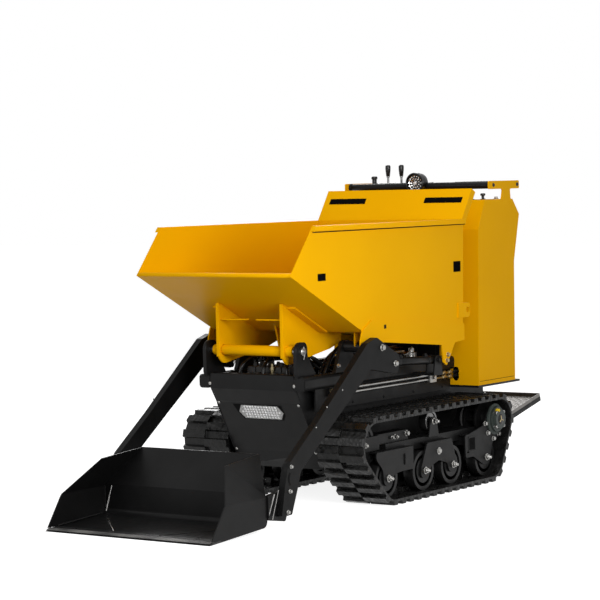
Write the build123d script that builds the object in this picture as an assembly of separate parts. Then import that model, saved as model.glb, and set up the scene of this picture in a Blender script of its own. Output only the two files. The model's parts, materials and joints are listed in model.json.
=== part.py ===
from build123d import *
import math
import os

os.makedirs("parts", exist_ok=True)

# Tracked site dumper with a front-tipping hopper and a self-loading shovel.
# Frame: +X forward to the shovel, +Y the machine's left, +Z up, origin on the ground
# under the middle of the machine.  Millimetres and degrees.
# Side outlines are lists of (x, z, corner radius).

# ---------------------------------------------------------------- driving sizes

PIN_FIT = 0.05                 # radial play of a turning pin in its bore
RUNNING_GAP = 0.3              # between a wheel or a washer and what it runs on

# tracks
TRACK_CENTRE_Y = 328
BELT_WIDTH = 222
BELT_CARCASS = 10
LUG_HEIGHT = 14
LUG_COUNT = 45                 # lugs in one row round the loop
LUG_ROOT = 34
LUG_TIP = 26
HORN_HEIGHT = 20
HORN_WIDTH = 30
HORN_ROOT = 26
HORN_TIP = 16
ROLLER_X = (139, -139, -359, -634)
ROLLER_RADIUS = 81
ROLLER_TREAD = 45              # width of each of a roller's two treads
WHEEL_GROOVE = 44              # space between the treads, for the guide horns
WHEEL_DISH = 12                # greatest depth of the recess in each face of a wheel
IDLER_X = 266
IDLER_Z = 248
IDLER_RADIUS = 92
IDLER_TREAD = 12
SPROCKET_X = -706
SPROCKET_Z = 260
SPROCKET_RADIUS = 85
SPROCKET_RIM = 12
SPROCKET_BARS = 10
SPROCKET_BAR_RADIUS = 6
SPROCKET_BAR_DEPTH = 14        # a bar's centre below the rim
SPROCKET_HUB_RADIUS = 40
SPROCKET_HUB_HALF = 60
CARRIER_X = -225
CARRIER_RADIUS = 44
CARRIER_Y = (350, 384)
AXLE_RADIUS = 12

# track frames
HANGER_Y = 404                 # outer face of the roller hangers
HANGER_PLATE = 8
HANGER_TOP = 212
EAR = 30                       # half width of a hanger's ear round an axle
BEAM_LOW_Z = 192
BEAM_HIGH_Z = 236
BEAM_HALF_WIDTH = 40
TENSIONER_Y = 371              # outer face of the idler fork
TENSIONER_FORK = 58            # depth of the fork
TENSIONER_PLATE = 8
TENSIONER_WALL = 14
TENSIONER_TUBE_HALF = 28
TENSIONER_REAR_X = -90
BEAM_REAR_X = -600
BEAM_NOSE_X = 100
HANGER_TUBES_X = (70, -249, -500)
HANGER_TUBE = 40
HANGER_TUBE_TOP = 210
CROSS_TUBES_X = (0, -520)
CROSS_TUBE = 50
CARRIER_FOOT = 6
CARRIER_FOOT_HALF = 40
CARRIER_HEAD_HALF = 18
MOTOR_RADIUS = 46
MOTOR_FACE = (                 # (radius, distance of the outer face beyond the hanger)
    (66, 5),
    (53, 19),
    (40, 33),
)

# chassis
CHANNEL_HALF_WIDTH = 200
CHANNEL_PLATE = 8
CHANNEL_LOW_Z = 150
CHANNEL_REAR_X = -965
NOSE_HALF_WIDTH = 206
NOSE_TOP = (490, 477)
NOSE_MID = (454.5, 422)
NOSE_BEND = (338.5, 217)
NOSE_LOW = (305.5, 149)
FRONT_LAMP_Z = 382
FRONT_LAMP_WIDTH = 218
FRONT_LAMP_HEIGHT = 66
FRONT_LAMP_DEPTH = 22
FRONT_LAMP_PROUD = 2
FRONT_LAMP_WELL = 40           # depth of the recess cut for the lamp
NOSE_PLATE = 6
NOSE_SEAT = 4                  # between the nose plate's back and the channel
CHEEK_DEPTH = 40
NOSE_BEND_RADIUS = 40
DECK_HALF_WIDTH = 236
DECK_TOP_Z = 477
DECK_PLATE = 8
DECK_SIDE_Z = 390
DECK_FRONT_X = 40
DECK_SIDE_BACK = 60            # the deck's sides end this far behind the nose plate
WEB_REAR_Z = 335               # foot of the channel's rear edge
WEB_KNEE = (-820, 60)          # where the channel's belly turns up: (x, corner radius)
BELLY_REAR_X = -790
TIP_LUG_FOOT = 40              # half length of the tipping cylinder's lug at the belly
TIP_LUG_HEAD = 20
TIP_LUG_PLATE = 11
LUG_GAP = 1                    # between a cylinder's eye and the plates beside it
RAIL_Y = 230
RAIL_SIZE = 55
RAIL_REAR_X = -628
BEAM_FRONT_X = 493.5
BEAM_DEPTH = 55
BEAM_BOTTOM_Z = 477
BEAM_TOP_Z = 536

# hopper
HOPPER_HALF_WIDTH = 370
HOPPER_WALL = 4
LIP = (738.5, 936)
RIM_FRONT = (579.5, 1122)
RIM_REAR = (-534.5, 1119)
FLOOR_REAR = (-516.5, 612)
FLOOR_FRONT = (245.5, 694)
GUARD_TOP = (-621.5, 1244)
GUARD_RETURN = 26
GUARD_RETURN_DROP = 14
RIM_HEM = 14
RIM_HEM_DEPTH = 20
LIP_RADIUS = 9
SKIRT_PLATE = 6
TAB_HOLE = (-549, 737)
TAB_HOLE_RADIUS = 13
TAB_HALF_HEIGHT = 31
TAB_FOOT = 75                  # from the hole to the tab's welded end
TAB_END = 17                   # from the hole to the tab's free end
TAB_ROUND = 14
HOOK_GAP = 17                  # round the loader's boss, in the skirt's hook
HOPPER_PIVOT = (468.5, 630)
HOPPER_PIN_RADIUS = 12.5
HOPPER_PIN_END = 8             # of the pin beyond its stands
PIVOT_TUBE_RADIUS = 21
PIVOT_TUBE_HALF = 192
BRACKET_Y = 155
BRACKET_PLATE = 8
BRACKET_FLANGE = (45, 7)       # width along the ramp and thickness
BRACKET_FRONT = 29.5           # from the pin to the hinge plate's front edge
BRACKET_REAR_X = 89.5
FORK_PLATE = 8
FORK_FOOT = 58                 # half length of the fork under the floor
FORK_HEAD = 20
STAND_Y = 212                  # inner face of a pivot stand
STAND_PLATE = 16
STAND_RADIUS = 37
STAND_REAR = 90                # the stand's foot runs this far behind the pin
STAND_FRONT = 24
LIFT_EAR_FOOT = 34             # half length of the lift cylinder's ears at their shelf
LIFT_EAR_HEAD = 20
LIFT_EAR_PLATE = 6
LIFT_SHELF = 8
POST_OFFSET = 4                # of the loader's post from the rail's middle
BOSS_REACH = 10                # of the boss behind the post

# loader
ARM_OUTER_Y = 420
ARM_PLATE = 28
ARM_PIVOT = (190.5, 631)
ARM_PIN_RADIUS = 15
BOSS_EDGE = 3
POST_HALF = 80                 # half length of the post's foot
POST_PLATE = 16
ARM_BOSS_RADIUS = 22
CRANK_PIN = (95.5, 561)
BUCKET_HALF_WIDTH = 388
BUCKET_TOP_LEAN = 108          # how far each side leans in at the top
BUCKET_WALL = 5
BUCKET_BEND_Z = 130
BUCKET_TOP_Z = 275
EDGE_X = 1301.5
EDGE_DEPTH = 70
EDGE_PLATE = 8
EDGE_BACK_X = EDGE_X - EDGE_DEPTH
HEEL = (946.5, 20)
HEEL_RADIUS = 25
BACK_BEND = (947.5, 138)
BACK_TOP = (837.5, 275)
SIDE_TOP = (1071.5, 256)
SIDE_BEND = (1209.5, 122)
HITCH_REAR_X = 796
HITCH_PLATE = 16
HITCH_TOP_Z = 152
HITCH_LOW_Z = 27
EDGE_BEVEL = 22

# cylinders
LIFT_Y = 338
LIFT_BASE = (-330, 541)
LIFT_BARREL_RADIUS = 17
LIFT_ROD_RADIUS = 9
LIFT_BARREL_LENGTH = 300
TIP_BASE = (-60, 260)
TIP_EYE = (230.4, 599.9)
TIP_BARREL_RADIUS = 30
TIP_ROD_RADIUS = 16
TIP_BARREL_LENGTH = 398
TIP_EYE_HALF = 20
TIP_EYE_RADIUS = 22
LIFT_EYE_HALF = 14
BARREL_WALL = 5
GLAND = 18
ROD_TAIL = 48                  # from the base pin to the piston's rear face
PISTON = 16
NECK_START = 4                 # of the eyes into the barrel's neck and the rod
NECK_LENGTH = 18
NECK_SHARE = 0.9               # of the base eye's half width
CYLINDER_PIN_RADIUS = 10
EYE_RADIUS = 18

# cabinet
CABINET_HALF_WIDTH = 370
CABINET_WALL = 3
CABINET_BOTTOM_Z = 407
CABINET_TOP_Z = 1196
CABINET_FRONT_X = -638
CABINET_BASE_Z = 398
CABINET_KNEE = (-657.5, 1071)
CABINET_TOP_FRONT_X = -713.5
CABINET_TOP_REAR_X = -956.5
CABINET_BULGE = (-1012.5, 1129)
CABINET_WAIST = (-961.5, 925)
CABINET_REAR_X = -953.5
BASE_REAR_X = -994.5
MACHINERY_GAP = 24             # round the engine and the tank
ENGINE_Y = (-190, 170)
ENGINE_LENGTH = 240
ENGINE_HEIGHT = 373
TANK_LENGTH = 210
TANK_HEIGHT = 353
BAR_RADIUS = 15
BAR_Z = 1258
BAR_FRONT_X = -792.5
BAR_REAR_X = -998.5
BRACKET_HALF_HEIGHT = 17.5
HANDLE_PLATE = 6
HANDLE_FRONT = 38              # of the handle plate before the front bar
HANDLE_STEM = (-941, -862)
LAMP_RADIUS = 42
LAMP_STANDOUT = 22             # of the lamp's face before the bar
LEVER_X = -880
LEVER_STEM_RADIUS = 5
LEVER_BOOT = (18, 7, 20)       # (foot radius, head radius, height)
LEVER_KNOB = (8, 11)           # (foot radius, head radius)
LEVERS = (                     # (y, height of the top, knob length)
    (-293, 1306, 28),
    (-220, 1355, 48),
    (-150, 1355, 48),
)
PIPE_Y = DECK_HALF_WIDTH + 16
PIPE_Z = (465, 447)
PIPE_RADIUS = 6
PIPE_FRONT_X = 300
PIPE_SLOT = (60, 30)           # (length, width) of the slot in the cabinet's front
PIPE_HOLE_Y = PIPE_Y + 5
PIPE_HOLE_Z = 455
PIPE_END = 60                  # of the pipes behind the cabinet's front
CLAMP_X = (-468, -414)
CLAMP_MARGIN = 12              # of the clamp round the pipes

# step
STEP_HINGE = (-1012, 232)
STEP_REAR = (-1301.5, 297)
STEP_HALF_WIDTH = 300
STEP_PLATE = 5
STEP_PIN_RADIUS = 8
STEP_RIM = 18                  # depth of the tread's folded edges
STEP_RIM_PLATE = 4
STEP_START = 26                # from the hinge to the tread's front edge
STEP_LUG_Y = 199
STEP_LUG = (10, 24, 60)        # (width, depth, length)
STEP_PLATE_Y = (180, 192)      # inner and outer face of a bracket plate
STEP_PLATE_Z = (340, 385)      # the bracket plate's ends on the channel
STEP_EYE = 16


# ---------------------------------------------------------------- helpers

def outline(corners):
    """Closed side outline from (x, z, corner radius) corners.

    A radius is kept below what the corner's shorter side allows.
    """
    edges = []
    arcs = []
    for i, (x, z, radius) in enumerate(corners):
        corner = Vector(x, z)
        back = Vector(*corners[i - 1][:2]) - corner
        ahead = Vector(*corners[(i + 1) % len(corners)][:2]) - corner
        half_angle = math.radians(back.get_angle(ahead)) / 2
        cut = min(radius / math.tan(half_angle), 0.49 * min(back.length, ahead.length))
        middle = (back.normalized() + ahead.normalized()).normalized()
        reach = cut / math.cos(half_angle) - cut * math.tan(half_angle)
        arcs.append((corner + back.normalized() * cut, corner + middle * reach,
                     corner + ahead.normalized() * cut, cut))
    for i, (start, halfway, end, cut) in enumerate(arcs):
        if cut > 0:
            edges.append(ThreePointArc(start, halfway, end))
        edges.append(Line(end, arcs[(i + 1) % len(arcs)][0]))
    return make_face(edges)


def slab(face, y_low, y_high):
    """A side outline made solid between two side planes."""
    return extrude(Plane.XZ.offset(-y_low) * face, -(y_high - y_low))


def disc(x, z, radius, y_low, y_high):
    """A round bar or disc lying across the machine."""
    return slab(Pos(x, z) * Circle(radius), y_low, y_high)


def block(x_low, x_high, y_low, y_high, z_low, z_high):
    """A straight block from its limits."""
    size = (x_high - x_low, y_high - y_low, z_high - z_low)
    middle = ((x_low + x_high) / 2, (y_low + y_high) / 2, (z_low + z_high) / 2)
    return Pos(*middle) * Box(*size)


def mirrored(shape):
    """The same piece on the other side of the machine."""
    return mirror(shape, about=Plane.XZ)


def save(name, shape):
    export_step(shape, f"parts/{name}.step")


def save_pair(name, shape):
    """Write a left-hand piece and its right-hand mirror image."""
    save(f"{name}_left", shape)
    save(f"{name}_right", mirrored(shape))


def line_z(start, end, x):
    """Height at x of the line through two (x, z) points."""
    return start[1] + (end[1] - start[1]) * (x - start[0]) / (end[0] - start[0])


# ---------------------------------------------------------------- tracks

# wheels that the belt wraps, in the order the belt meets them: (x, z, radius)
WRAPPED = (
    (ROLLER_X[0], BELT_CARCASS + LUG_HEIGHT + ROLLER_RADIUS, ROLLER_RADIUS),
    (IDLER_X, IDLER_Z, IDLER_RADIUS),
    (SPROCKET_X, SPROCKET_Z, SPROCKET_RADIUS),
    (ROLLER_X[-1], BELT_CARCASS + LUG_HEIGHT + ROLLER_RADIUS, ROLLER_RADIUS),
)
ROLLER_Z = WRAPPED[0][1]


def belt_path():
    """Straight runs and arcs of the belt's inner face, anticlockwise seen from the right.

    Each straight run is (start, end, normal); the arc round wheel i joins run i-1 to run i.
    """
    runs = []
    for i, (xa, za, ra) in enumerate(WRAPPED):
        xb, zb, rb = WRAPPED[(i + 1) % len(WRAPPED)]
        span = math.hypot(xb - xa, zb - za)
        heading = math.atan2(zb - za, xb - xa)
        tilt = heading - math.pi / 2 - math.asin((rb - ra) / span)
        normal = (math.cos(tilt), math.sin(tilt))
        start = (xa + ra * normal[0], za + ra * normal[1])
        end = (xb + rb * normal[0], zb + rb * normal[1])
        runs.append((start, end, normal))
    return runs


RUNS = belt_path()


def belt_stations():
    """(length, run or wheel) pieces of the loop on the belt's middle line."""
    pieces = []
    for i, (x, z, radius) in enumerate(WRAPPED):
        before = RUNS[i - 1][2]
        after = RUNS[i][2]
        a = math.atan2(before[1], before[0])
        turn = (math.atan2(after[1], after[0]) - a) % (2 * math.pi)
        pieces.append((turn * (radius + BELT_CARCASS / 2), "arc", (x, z, radius, a, turn)))
        start, end, normal = RUNS[i]
        pieces.append((math.dist(start, end), "run", (start, end, normal)))
    return pieces


STATIONS = belt_stations()
LOOP_LENGTH = sum(piece[0] for piece in STATIONS)


def belt_point(distance, offset):
    """Point at a distance round the loop, offset outward from the belt's inner face."""
    distance %= LOOP_LENGTH
    for length, kind, data in STATIONS:
        if distance > length:
            distance -= length
            continue
        share = distance / length
        if kind == "arc":
            x, z, radius, start_angle, turn = data
            angle = start_angle + turn * share
            reach = radius + offset
            return (x + reach * math.cos(angle), z + reach * math.sin(angle))
        start, end, normal = data
        x = start[0] + (end[0] - start[0]) * share + offset * normal[0]
        z = start[1] + (end[1] - start[1]) * share + offset * normal[1]
        return (x, z)
    return belt_point(0, offset)


def belt_inside(offset):
    """Face bounded by the loop at an outward offset from the belt's inner face."""
    edges = []
    for length, kind, data in STATIONS:
        if kind == "arc":
            x, z, radius, start_angle, turn = data
            reach = radius + offset
            ends = [start_angle, start_angle + turn / 2, start_angle + turn]
            points = [(x + reach * math.cos(a), z + reach * math.sin(a)) for a in ends]
            edges.append(ThreePointArc(*points))
        else:
            start, end, (nx, nz) = data
            first = (start[0] + offset * nx, start[1] + offset * nz)
            last = (end[0] + offset * nx, end[1] + offset * nz)
            edges.append(Line(first, last))
    return make_face(edges)


def belt_row(phase, y_low, y_high):
    """One row of lugs with its half of the carcass."""
    pitch = LOOP_LENGTH / LUG_COUNT
    points = []
    for i in range(LUG_COUNT):
        middle = (i + phase) * pitch
        points.append(belt_point(middle - LUG_ROOT / 2, BELT_CARCASS))
        points.append(belt_point(middle - LUG_TIP / 2, BELT_CARCASS + LUG_HEIGHT))
        points.append(belt_point(middle + LUG_TIP / 2, BELT_CARCASS + LUG_HEIGHT))
        points.append(belt_point(middle + LUG_ROOT / 2, BELT_CARCASS))
    tread = make_face(Polyline(*points, close=True))
    return slab(tread - belt_inside(0), y_low, y_high)


def guide_horns():
    """Row of horns on the belt's inner face, midway between the lugs of the outer row."""
    pitch = LOOP_LENGTH / LUG_COUNT
    sunk = BELT_CARCASS / 2
    horns = []
    for i in range(LUG_COUNT):
        middle = (i + 0.5) * pitch
        corners = [
            belt_point(middle - HORN_ROOT / 2, sunk),
            belt_point(middle - HORN_TIP / 2, -HORN_HEIGHT),
            belt_point(middle + HORN_TIP / 2, -HORN_HEIGHT),
            belt_point(middle + HORN_ROOT / 2, sunk),
        ]
        face = make_face(Polyline(*corners, close=True))
        horns.append(slab(face, TRACK_CENTRE_Y - HORN_WIDTH / 2, TRACK_CENTRE_Y + HORN_WIDTH / 2))
    return horns


def track_belt():
    inner_row = belt_row(0.5, TRACK_CENTRE_Y - BELT_WIDTH / 2, TRACK_CENTRE_Y)
    outer_row = belt_row(0, TRACK_CENTRE_Y, TRACK_CENTRE_Y + BELT_WIDTH / 2)
    return inner_row.fuse(outer_row, *guide_horns())


def grooved_wheel(x, z, radius, tread_width, core_radius):
    """Twin-tread wheel whose groove clears the guide horns."""
    running = radius - RUNNING_GAP
    inner = WHEEL_GROOVE / 2
    outer = inner + tread_width
    wheel = disc(x, z, core_radius, TRACK_CENTRE_Y - outer, TRACK_CENTRE_Y + outer)
    for low, high in ((-outer, -inner), (inner, outer)):
        wheel += disc(x, z, running, TRACK_CENTRE_Y + low, TRACK_CENTRE_Y + high)
    dish = (radius + core_radius) / 2
    depth = min(WHEEL_DISH, tread_width / 3)
    for low, high in ((-outer, -outer + depth), (outer - depth, outer)):
        ring = disc(x, z, dish, TRACK_CENTRE_Y + low, TRACK_CENTRE_Y + high)
        ring -= disc(x, z, core_radius, TRACK_CENTRE_Y + low, TRACK_CENTRE_Y + high)
        wheel -= ring
    return wheel


def track_rollers():
    """Four ground rollers and the carrier roller under the upper run, with their axles."""
    inner_y = 2 * TRACK_CENTRE_Y - HANGER_Y + HANGER_PLATE
    outer_y = HANGER_Y - HANGER_PLATE
    rollers = []
    for x in ROLLER_X:
        roller = grooved_wheel(x, ROLLER_Z, ROLLER_RADIUS, ROLLER_TREAD, wheel_core(ROLLER_RADIUS))
        rollers.append(roller + disc(x, ROLLER_Z, AXLE_RADIUS, inner_y, outer_y))
    low, high = CARRIER_Y
    carrier = disc(CARRIER_X, carrier_z(), CARRIER_RADIUS, low, high)
    dish = disc(CARRIER_X, carrier_z(), CARRIER_RADIUS * 3 / 4, high - WHEEL_DISH, high)
    carrier -= dish
    rollers.append(carrier + disc(CARRIER_X, carrier_z(), AXLE_RADIUS, low - WHEEL_DISH, outer_y))
    return Compound(children=rollers)


def wheel_core(radius):
    """Radius of a wheel between its treads, clear of the horns' tips."""
    return radius - 3 / 2 * HORN_HEIGHT


def upper_run_z(x):
    """Height of the belt's inner face on the upper run."""
    start, end, _ = RUNS[1]
    return line_z(start, end, x)


def carrier_z():
    return upper_run_z(CARRIER_X) - CARRIER_RADIUS - RUNNING_GAP


def idler():
    wheel = grooved_wheel(IDLER_X, IDLER_Z, IDLER_RADIUS, IDLER_TREAD, wheel_core(IDLER_RADIUS))
    half = TENSIONER_Y - TENSIONER_PLATE - TRACK_CENTRE_Y
    return wheel + disc(IDLER_X, IDLER_Z, AXLE_RADIUS, TRACK_CENTRE_Y - half, TRACK_CENTRE_Y + half)


def sprocket():
    """Twin rims joined by drive bars, on the hub of the track motor."""
    inner = WHEEL_GROOVE / 2
    rim = SPROCKET_RADIUS - RUNNING_GAP
    wheel = disc(SPROCKET_X, SPROCKET_Z, SPROCKET_HUB_RADIUS,
                 TRACK_CENTRE_Y - SPROCKET_HUB_HALF, TRACK_CENTRE_Y + SPROCKET_HUB_HALF)
    for low, high in ((-inner - SPROCKET_RIM, -inner), (inner, inner + SPROCKET_RIM)):
        wheel += disc(SPROCKET_X, SPROCKET_Z, rim, TRACK_CENTRE_Y + low, TRACK_CENTRE_Y + high)
    for i in range(SPROCKET_BARS):
        angle = 2 * math.pi * i / SPROCKET_BARS
        x = SPROCKET_X + (rim - SPROCKET_BAR_DEPTH) * math.cos(angle)
        z = SPROCKET_Z + (rim - SPROCKET_BAR_DEPTH) * math.sin(angle)
        wheel += disc(x, z, SPROCKET_BAR_RADIUS, TRACK_CENTRE_Y - inner, TRACK_CENTRE_Y + inner)
    return wheel


def drive_motor():
    """Wheel motor: body through the rear hanger, flange and end cover."""
    motor = disc(SPROCKET_X, SPROCKET_Z, MOTOR_RADIUS - RUNNING_GAP,
                 TRACK_CENTRE_Y + SPROCKET_HUB_HALF, HANGER_Y)
    for radius, standout in MOTOR_FACE:
        motor += disc(SPROCKET_X, SPROCKET_Z, radius, HANGER_Y, HANGER_Y + standout)
    return motor


# ---------------------------------------------------------------- track frames

def hanger_plates():
    """Outer hanger plates of the rollers: front, bogie and rear."""
    x1, x2, x3, x4 = ROLLER_X
    low = ROLLER_Z - EAR
    round_ear = EAR - 1
    arch = low + EAR + 12
    front = outline([
        (x1 + 84, HANGER_TOP, 6), (x1 + 84, HANGER_TOP - 24, 24), (x1 + EAR + 8, ROLLER_Z + 38, 40),
        (x1 + EAR, low, round_ear), (x1 - EAR, low, round_ear), (x1 - EAR - 10, arch, 40),
        (x1 - 108, arch + 6, 30), (x1 - 190, arch + 6, 5), (x1 - 190, HANGER_TOP, 6),
    ])
    middle = (x2 + x3) / 2
    bogie = outline([
        (middle + 92, HANGER_TOP, 6), (x2 + EAR, ROLLER_Z + 10, 12), (x2 + EAR, low, round_ear),
        (x2 - EAR, low, round_ear), (x2 - EAR - 14, arch, 24), (middle, arch + 18, 40),
        (x3 + EAR + 14, arch, 24), (x3 + EAR, low, round_ear), (x3 - EAR, low, round_ear),
        (x3 - EAR, ROLLER_Z + 10, 12), (middle - 104, HANGER_TOP, 6),
    ])
    rear = outline([
        (x4 + 174, HANGER_TOP - 2, 8), (x4 + 170, arch + 2, 10), (x4 + 108, arch + 2, 30),
        (x4 + EAR, low + 4, 12), (x4 + EAR - 12, low, 16), (x4 - EAR, low, round_ear),
        (x4 - 52, ROLLER_Z + 60, 30), (SPROCKET_X - 58, SPROCKET_Z - 72, 30),
        (SPROCKET_X - 62, SPROCKET_Z + 44, 46), (SPROCKET_X + 32, SPROCKET_Z + 68, 40),
        (SPROCKET_X + 96, SPROCKET_Z - 20, 30),
    ])
    return front, bogie, rear


def track_frame():
    """Beam along the track, roller hangers on both sides and tubes to the chassis."""
    frame = block(BEAM_REAR_X, BEAM_NOSE_X, TRACK_CENTRE_Y - BEAM_HALF_WIDTH,
                  TRACK_CENTRE_Y + BEAM_HALF_WIDTH, BEAM_LOW_Z, BEAM_HIGH_Z)
    outer_low = HANGER_Y - HANGER_PLATE
    inner_low = 2 * TRACK_CENTRE_Y - HANGER_Y
    for face in hanger_plates():
        frame += slab(face, outer_low, HANGER_Y)
        frame += slab(face, inner_low, inner_low + HANGER_PLATE)
    half = HANGER_TUBE / 2
    for x in HANGER_TUBES_X:
        frame += block(x - half, x + half, inner_low, outer_low,
                       HANGER_TUBE_TOP - HANGER_TUBE, HANGER_TUBE_TOP)
    half = CROSS_TUBE / 2
    for x in CROSS_TUBES_X:
        frame += block(x - half, x + half, CHANNEL_HALF_WIDTH, TRACK_CENTRE_Y,
                       BEAM_HIGH_Z - CROSS_TUBE, BEAM_HIGH_Z)
    for x in ROLLER_X:
        frame -= disc(x, ROLLER_Z, AXLE_RADIUS, inner_low - 1, HANGER_Y + 1)
    frame -= disc(SPROCKET_X, SPROCKET_Z, MOTOR_RADIUS, inner_low - 1, HANGER_Y + 1)
    return frame + carrier_bracket()


def carrier_bracket():
    """Upright on the beam that holds the carrier roller's axle at its outer end."""
    z = carrier_z()
    foot, head = CARRIER_FOOT_HALF, CARRIER_HEAD_HALF
    face = outline([
        (CARRIER_X - foot, BEAM_HIGH_Z, 0), (CARRIER_X + foot, BEAM_HIGH_Z, 0),
        (CARRIER_X + head, z + head, head - 2), (CARRIER_X - head, z + head, head - 2),
    ])
    outer = HANGER_Y - HANGER_PLATE
    plate = slab(face, outer - CARRIER_FOOT, outer)
    plate += block(CARRIER_X - foot, CARRIER_X + foot, TRACK_CENTRE_Y, outer,
                   BEAM_HIGH_Z, BEAM_HIGH_Z + CARRIER_FOOT)
    return plate - disc(CARRIER_X, z, AXLE_RADIUS, outer - 2 * CARRIER_FOOT, outer + 1)


def tensioner():
    """Idler fork on its square slide tube, lying on the beam's front end."""
    half = TENSIONER_FORK / 2
    y_low = 2 * TRACK_CENTRE_Y - TENSIONER_Y
    neck = IDLER_X - IDLER_RADIUS - BELT_CARCASS
    wall = neck - TENSIONER_WALL
    z_low = IDLER_Z - half
    z_high = IDLER_Z + half
    arm = block(neck, IDLER_X + half, y_low, TENSIONER_Y, z_low, z_high)
    arm -= block(neck, IDLER_X + 2 * half, y_low + TENSIONER_PLATE, TENSIONER_Y - TENSIONER_PLATE,
                 z_low - half, z_high + half)
    arm += block(wall, neck, y_low, TENSIONER_Y, z_low, z_high)
    arm += block(TENSIONER_REAR_X, wall, TRACK_CENTRE_Y - TENSIONER_TUBE_HALF,
                 TRACK_CENTRE_Y + TENSIONER_TUBE_HALF, BEAM_HIGH_Z, z_high)
    return arm - disc(IDLER_X, IDLER_Z, AXLE_RADIUS, y_low - 1, TENSIONER_Y + 1)


# ---------------------------------------------------------------- chassis

def chassis_channel():
    """Open-topped channel between the tracks: two webs, belly plate and rear end plate."""
    half = CHANNEL_HALF_WIDTH
    back = NOSE_PLATE + NOSE_SEAT
    side = outline([
        (CHANNEL_REAR_X, WEB_REAR_Z, 0), (CHANNEL_REAR_X, CABINET_BASE_Z, 0),
        (RAIL_REAR_X, CABINET_BASE_Z, 0), (RAIL_REAR_X, DECK_TOP_Z - DECK_PLATE, 0),
        (NOSE_TOP[0] - CHEEK_DEPTH, DECK_TOP_Z - DECK_PLATE, 0),
        (NOSE_MID[0] - CHEEK_DEPTH, NOSE_MID[1], 0),
        (NOSE_BEND[0] - back, NOSE_BEND[1], 0), (NOSE_LOW[0] - back, CHANNEL_LOW_Z, 0),
        (WEB_KNEE[0], CHANNEL_LOW_Z, WEB_KNEE[1]),
    ])
    web = slab(side, half - CHANNEL_PLATE, half)
    inner = half - CHANNEL_PLATE
    belly = block(BELLY_REAR_X, NOSE_LOW[0] - back, -inner, inner,
                  CHANNEL_LOW_Z, CHANNEL_LOW_Z + CHANNEL_PLATE)
    end = block(CHANNEL_REAR_X, CHANNEL_REAR_X + CHANNEL_PLATE, -inner, inner,
                WEB_REAR_Z, CABINET_BASE_Z)
    channel = web + mirrored(web) + belly + end
    x, z = TIP_BASE
    foot, head = TIP_LUG_FOOT, TIP_LUG_HEAD
    lug = outline([
        (x - foot, CHANNEL_LOW_Z + CHANNEL_PLATE, 0), (x + foot, CHANNEL_LOW_Z + CHANNEL_PLATE, 0),
        (x + head, z + head, head - 1), (x - head, z + head, head - 1),
    ])
    inner = TIP_EYE_HALF + LUG_GAP
    outer = inner + TIP_LUG_PLATE
    channel += slab(lug, inner, outer)
    channel += slab(lug, -outer, -inner)
    return channel + disc(x, z, CYLINDER_PIN_RADIUS, -outer, outer)


def deck_plate():
    """Plate over the channel behind the tipping cylinder, with folded-down sides."""
    side_front = NOSE_MID[0] - DECK_SIDE_BACK
    deck = block(RAIL_REAR_X, DECK_FRONT_X, -DECK_HALF_WIDTH, DECK_HALF_WIDTH,
                 DECK_TOP_Z - DECK_PLATE, DECK_TOP_Z)
    fold = block(RAIL_REAR_X, side_front, DECK_HALF_WIDTH - DECK_PLATE, DECK_HALF_WIDTH,
                 DECK_SIDE_Z, DECK_TOP_Z)
    fold += block(DECK_FRONT_X, side_front, CHANNEL_HALF_WIDTH, DECK_HALF_WIDTH,
                  DECK_TOP_Z - DECK_PLATE, DECK_TOP_Z)
    return deck + fold + mirrored(fold)


def nose_plate():
    """Sloping plate across the front of the chassis, with the lamp recess."""
    back = NOSE_PLATE
    bend = NOSE_BEND_RADIUS
    face = outline([
        (*NOSE_TOP, 0), (*NOSE_MID, bend), (*NOSE_BEND, 0), (*NOSE_LOW, 0),
        (NOSE_LOW[0] - back, NOSE_LOW[1], 0), (NOSE_BEND[0] - back, NOSE_BEND[1], 0),
        (NOSE_MID[0] - back, NOSE_MID[1], bend), (NOSE_TOP[0] - back, NOSE_TOP[1], 0),
    ])
    plate = slab(face, -NOSE_HALF_WIDTH, NOSE_HALF_WIDTH)
    cheek = outline([
        (NOSE_TOP[0] - back - NOSE_SEAT, DECK_TOP_Z, 0), (NOSE_MID[0] - back, NOSE_MID[1], bend),
        (NOSE_BEND[0] - back, NOSE_BEND[1], 0), (NOSE_BEND[0] - back - CHEEK_DEPTH, NOSE_BEND[1], 0),
        (NOSE_MID[0] - DECK_SIDE_BACK, NOSE_MID[1], bend),
        (NOSE_MID[0] - DECK_SIDE_BACK, DECK_TOP_Z, 0),
    ])
    fold = slab(cheek, CHANNEL_HALF_WIDTH, NOSE_HALF_WIDTH)
    plate += fold + mirrored(fold)
    play = RUNNING_GAP
    return plate - lamp_body(FRONT_LAMP_WIDTH / 2 + play, FRONT_LAMP_HEIGHT / 2 + play,
                             FRONT_LAMP_WELL, FRONT_LAMP_WELL / 2)


def lamp_plane():
    """Plane of the nose plate's long slope at the lamp's centre."""
    slope = (NOSE_MID[0] - NOSE_BEND[0], NOSE_MID[1] - NOSE_BEND[1])
    length = math.hypot(*slope)
    normal = (slope[1] / length, 0, -slope[0] / length)
    x = NOSE_BEND[0] + slope[0] * (FRONT_LAMP_Z - NOSE_BEND[1]) / slope[1]
    return Plane(origin=(x, 0, FRONT_LAMP_Z), x_dir=(0, 1, 0), z_dir=normal)


def lamp_body(half_width, half_height, behind, ahead):
    """Hexagonal lamp body standing across the nose plate."""
    waist = half_width - half_height
    face = make_face(Polyline(
        (-half_width, 0), (-waist, half_height), (waist, half_height),
        (half_width, 0), (waist, -half_height), (-waist, -half_height), close=True,
    ))
    return lamp_plane() * Pos(0, 0, -behind) * extrude(face, behind + ahead)


def front_lamp():
    return lamp_body(FRONT_LAMP_WIDTH / 2, FRONT_LAMP_HEIGHT / 2, FRONT_LAMP_DEPTH, FRONT_LAMP_PROUD)


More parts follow.
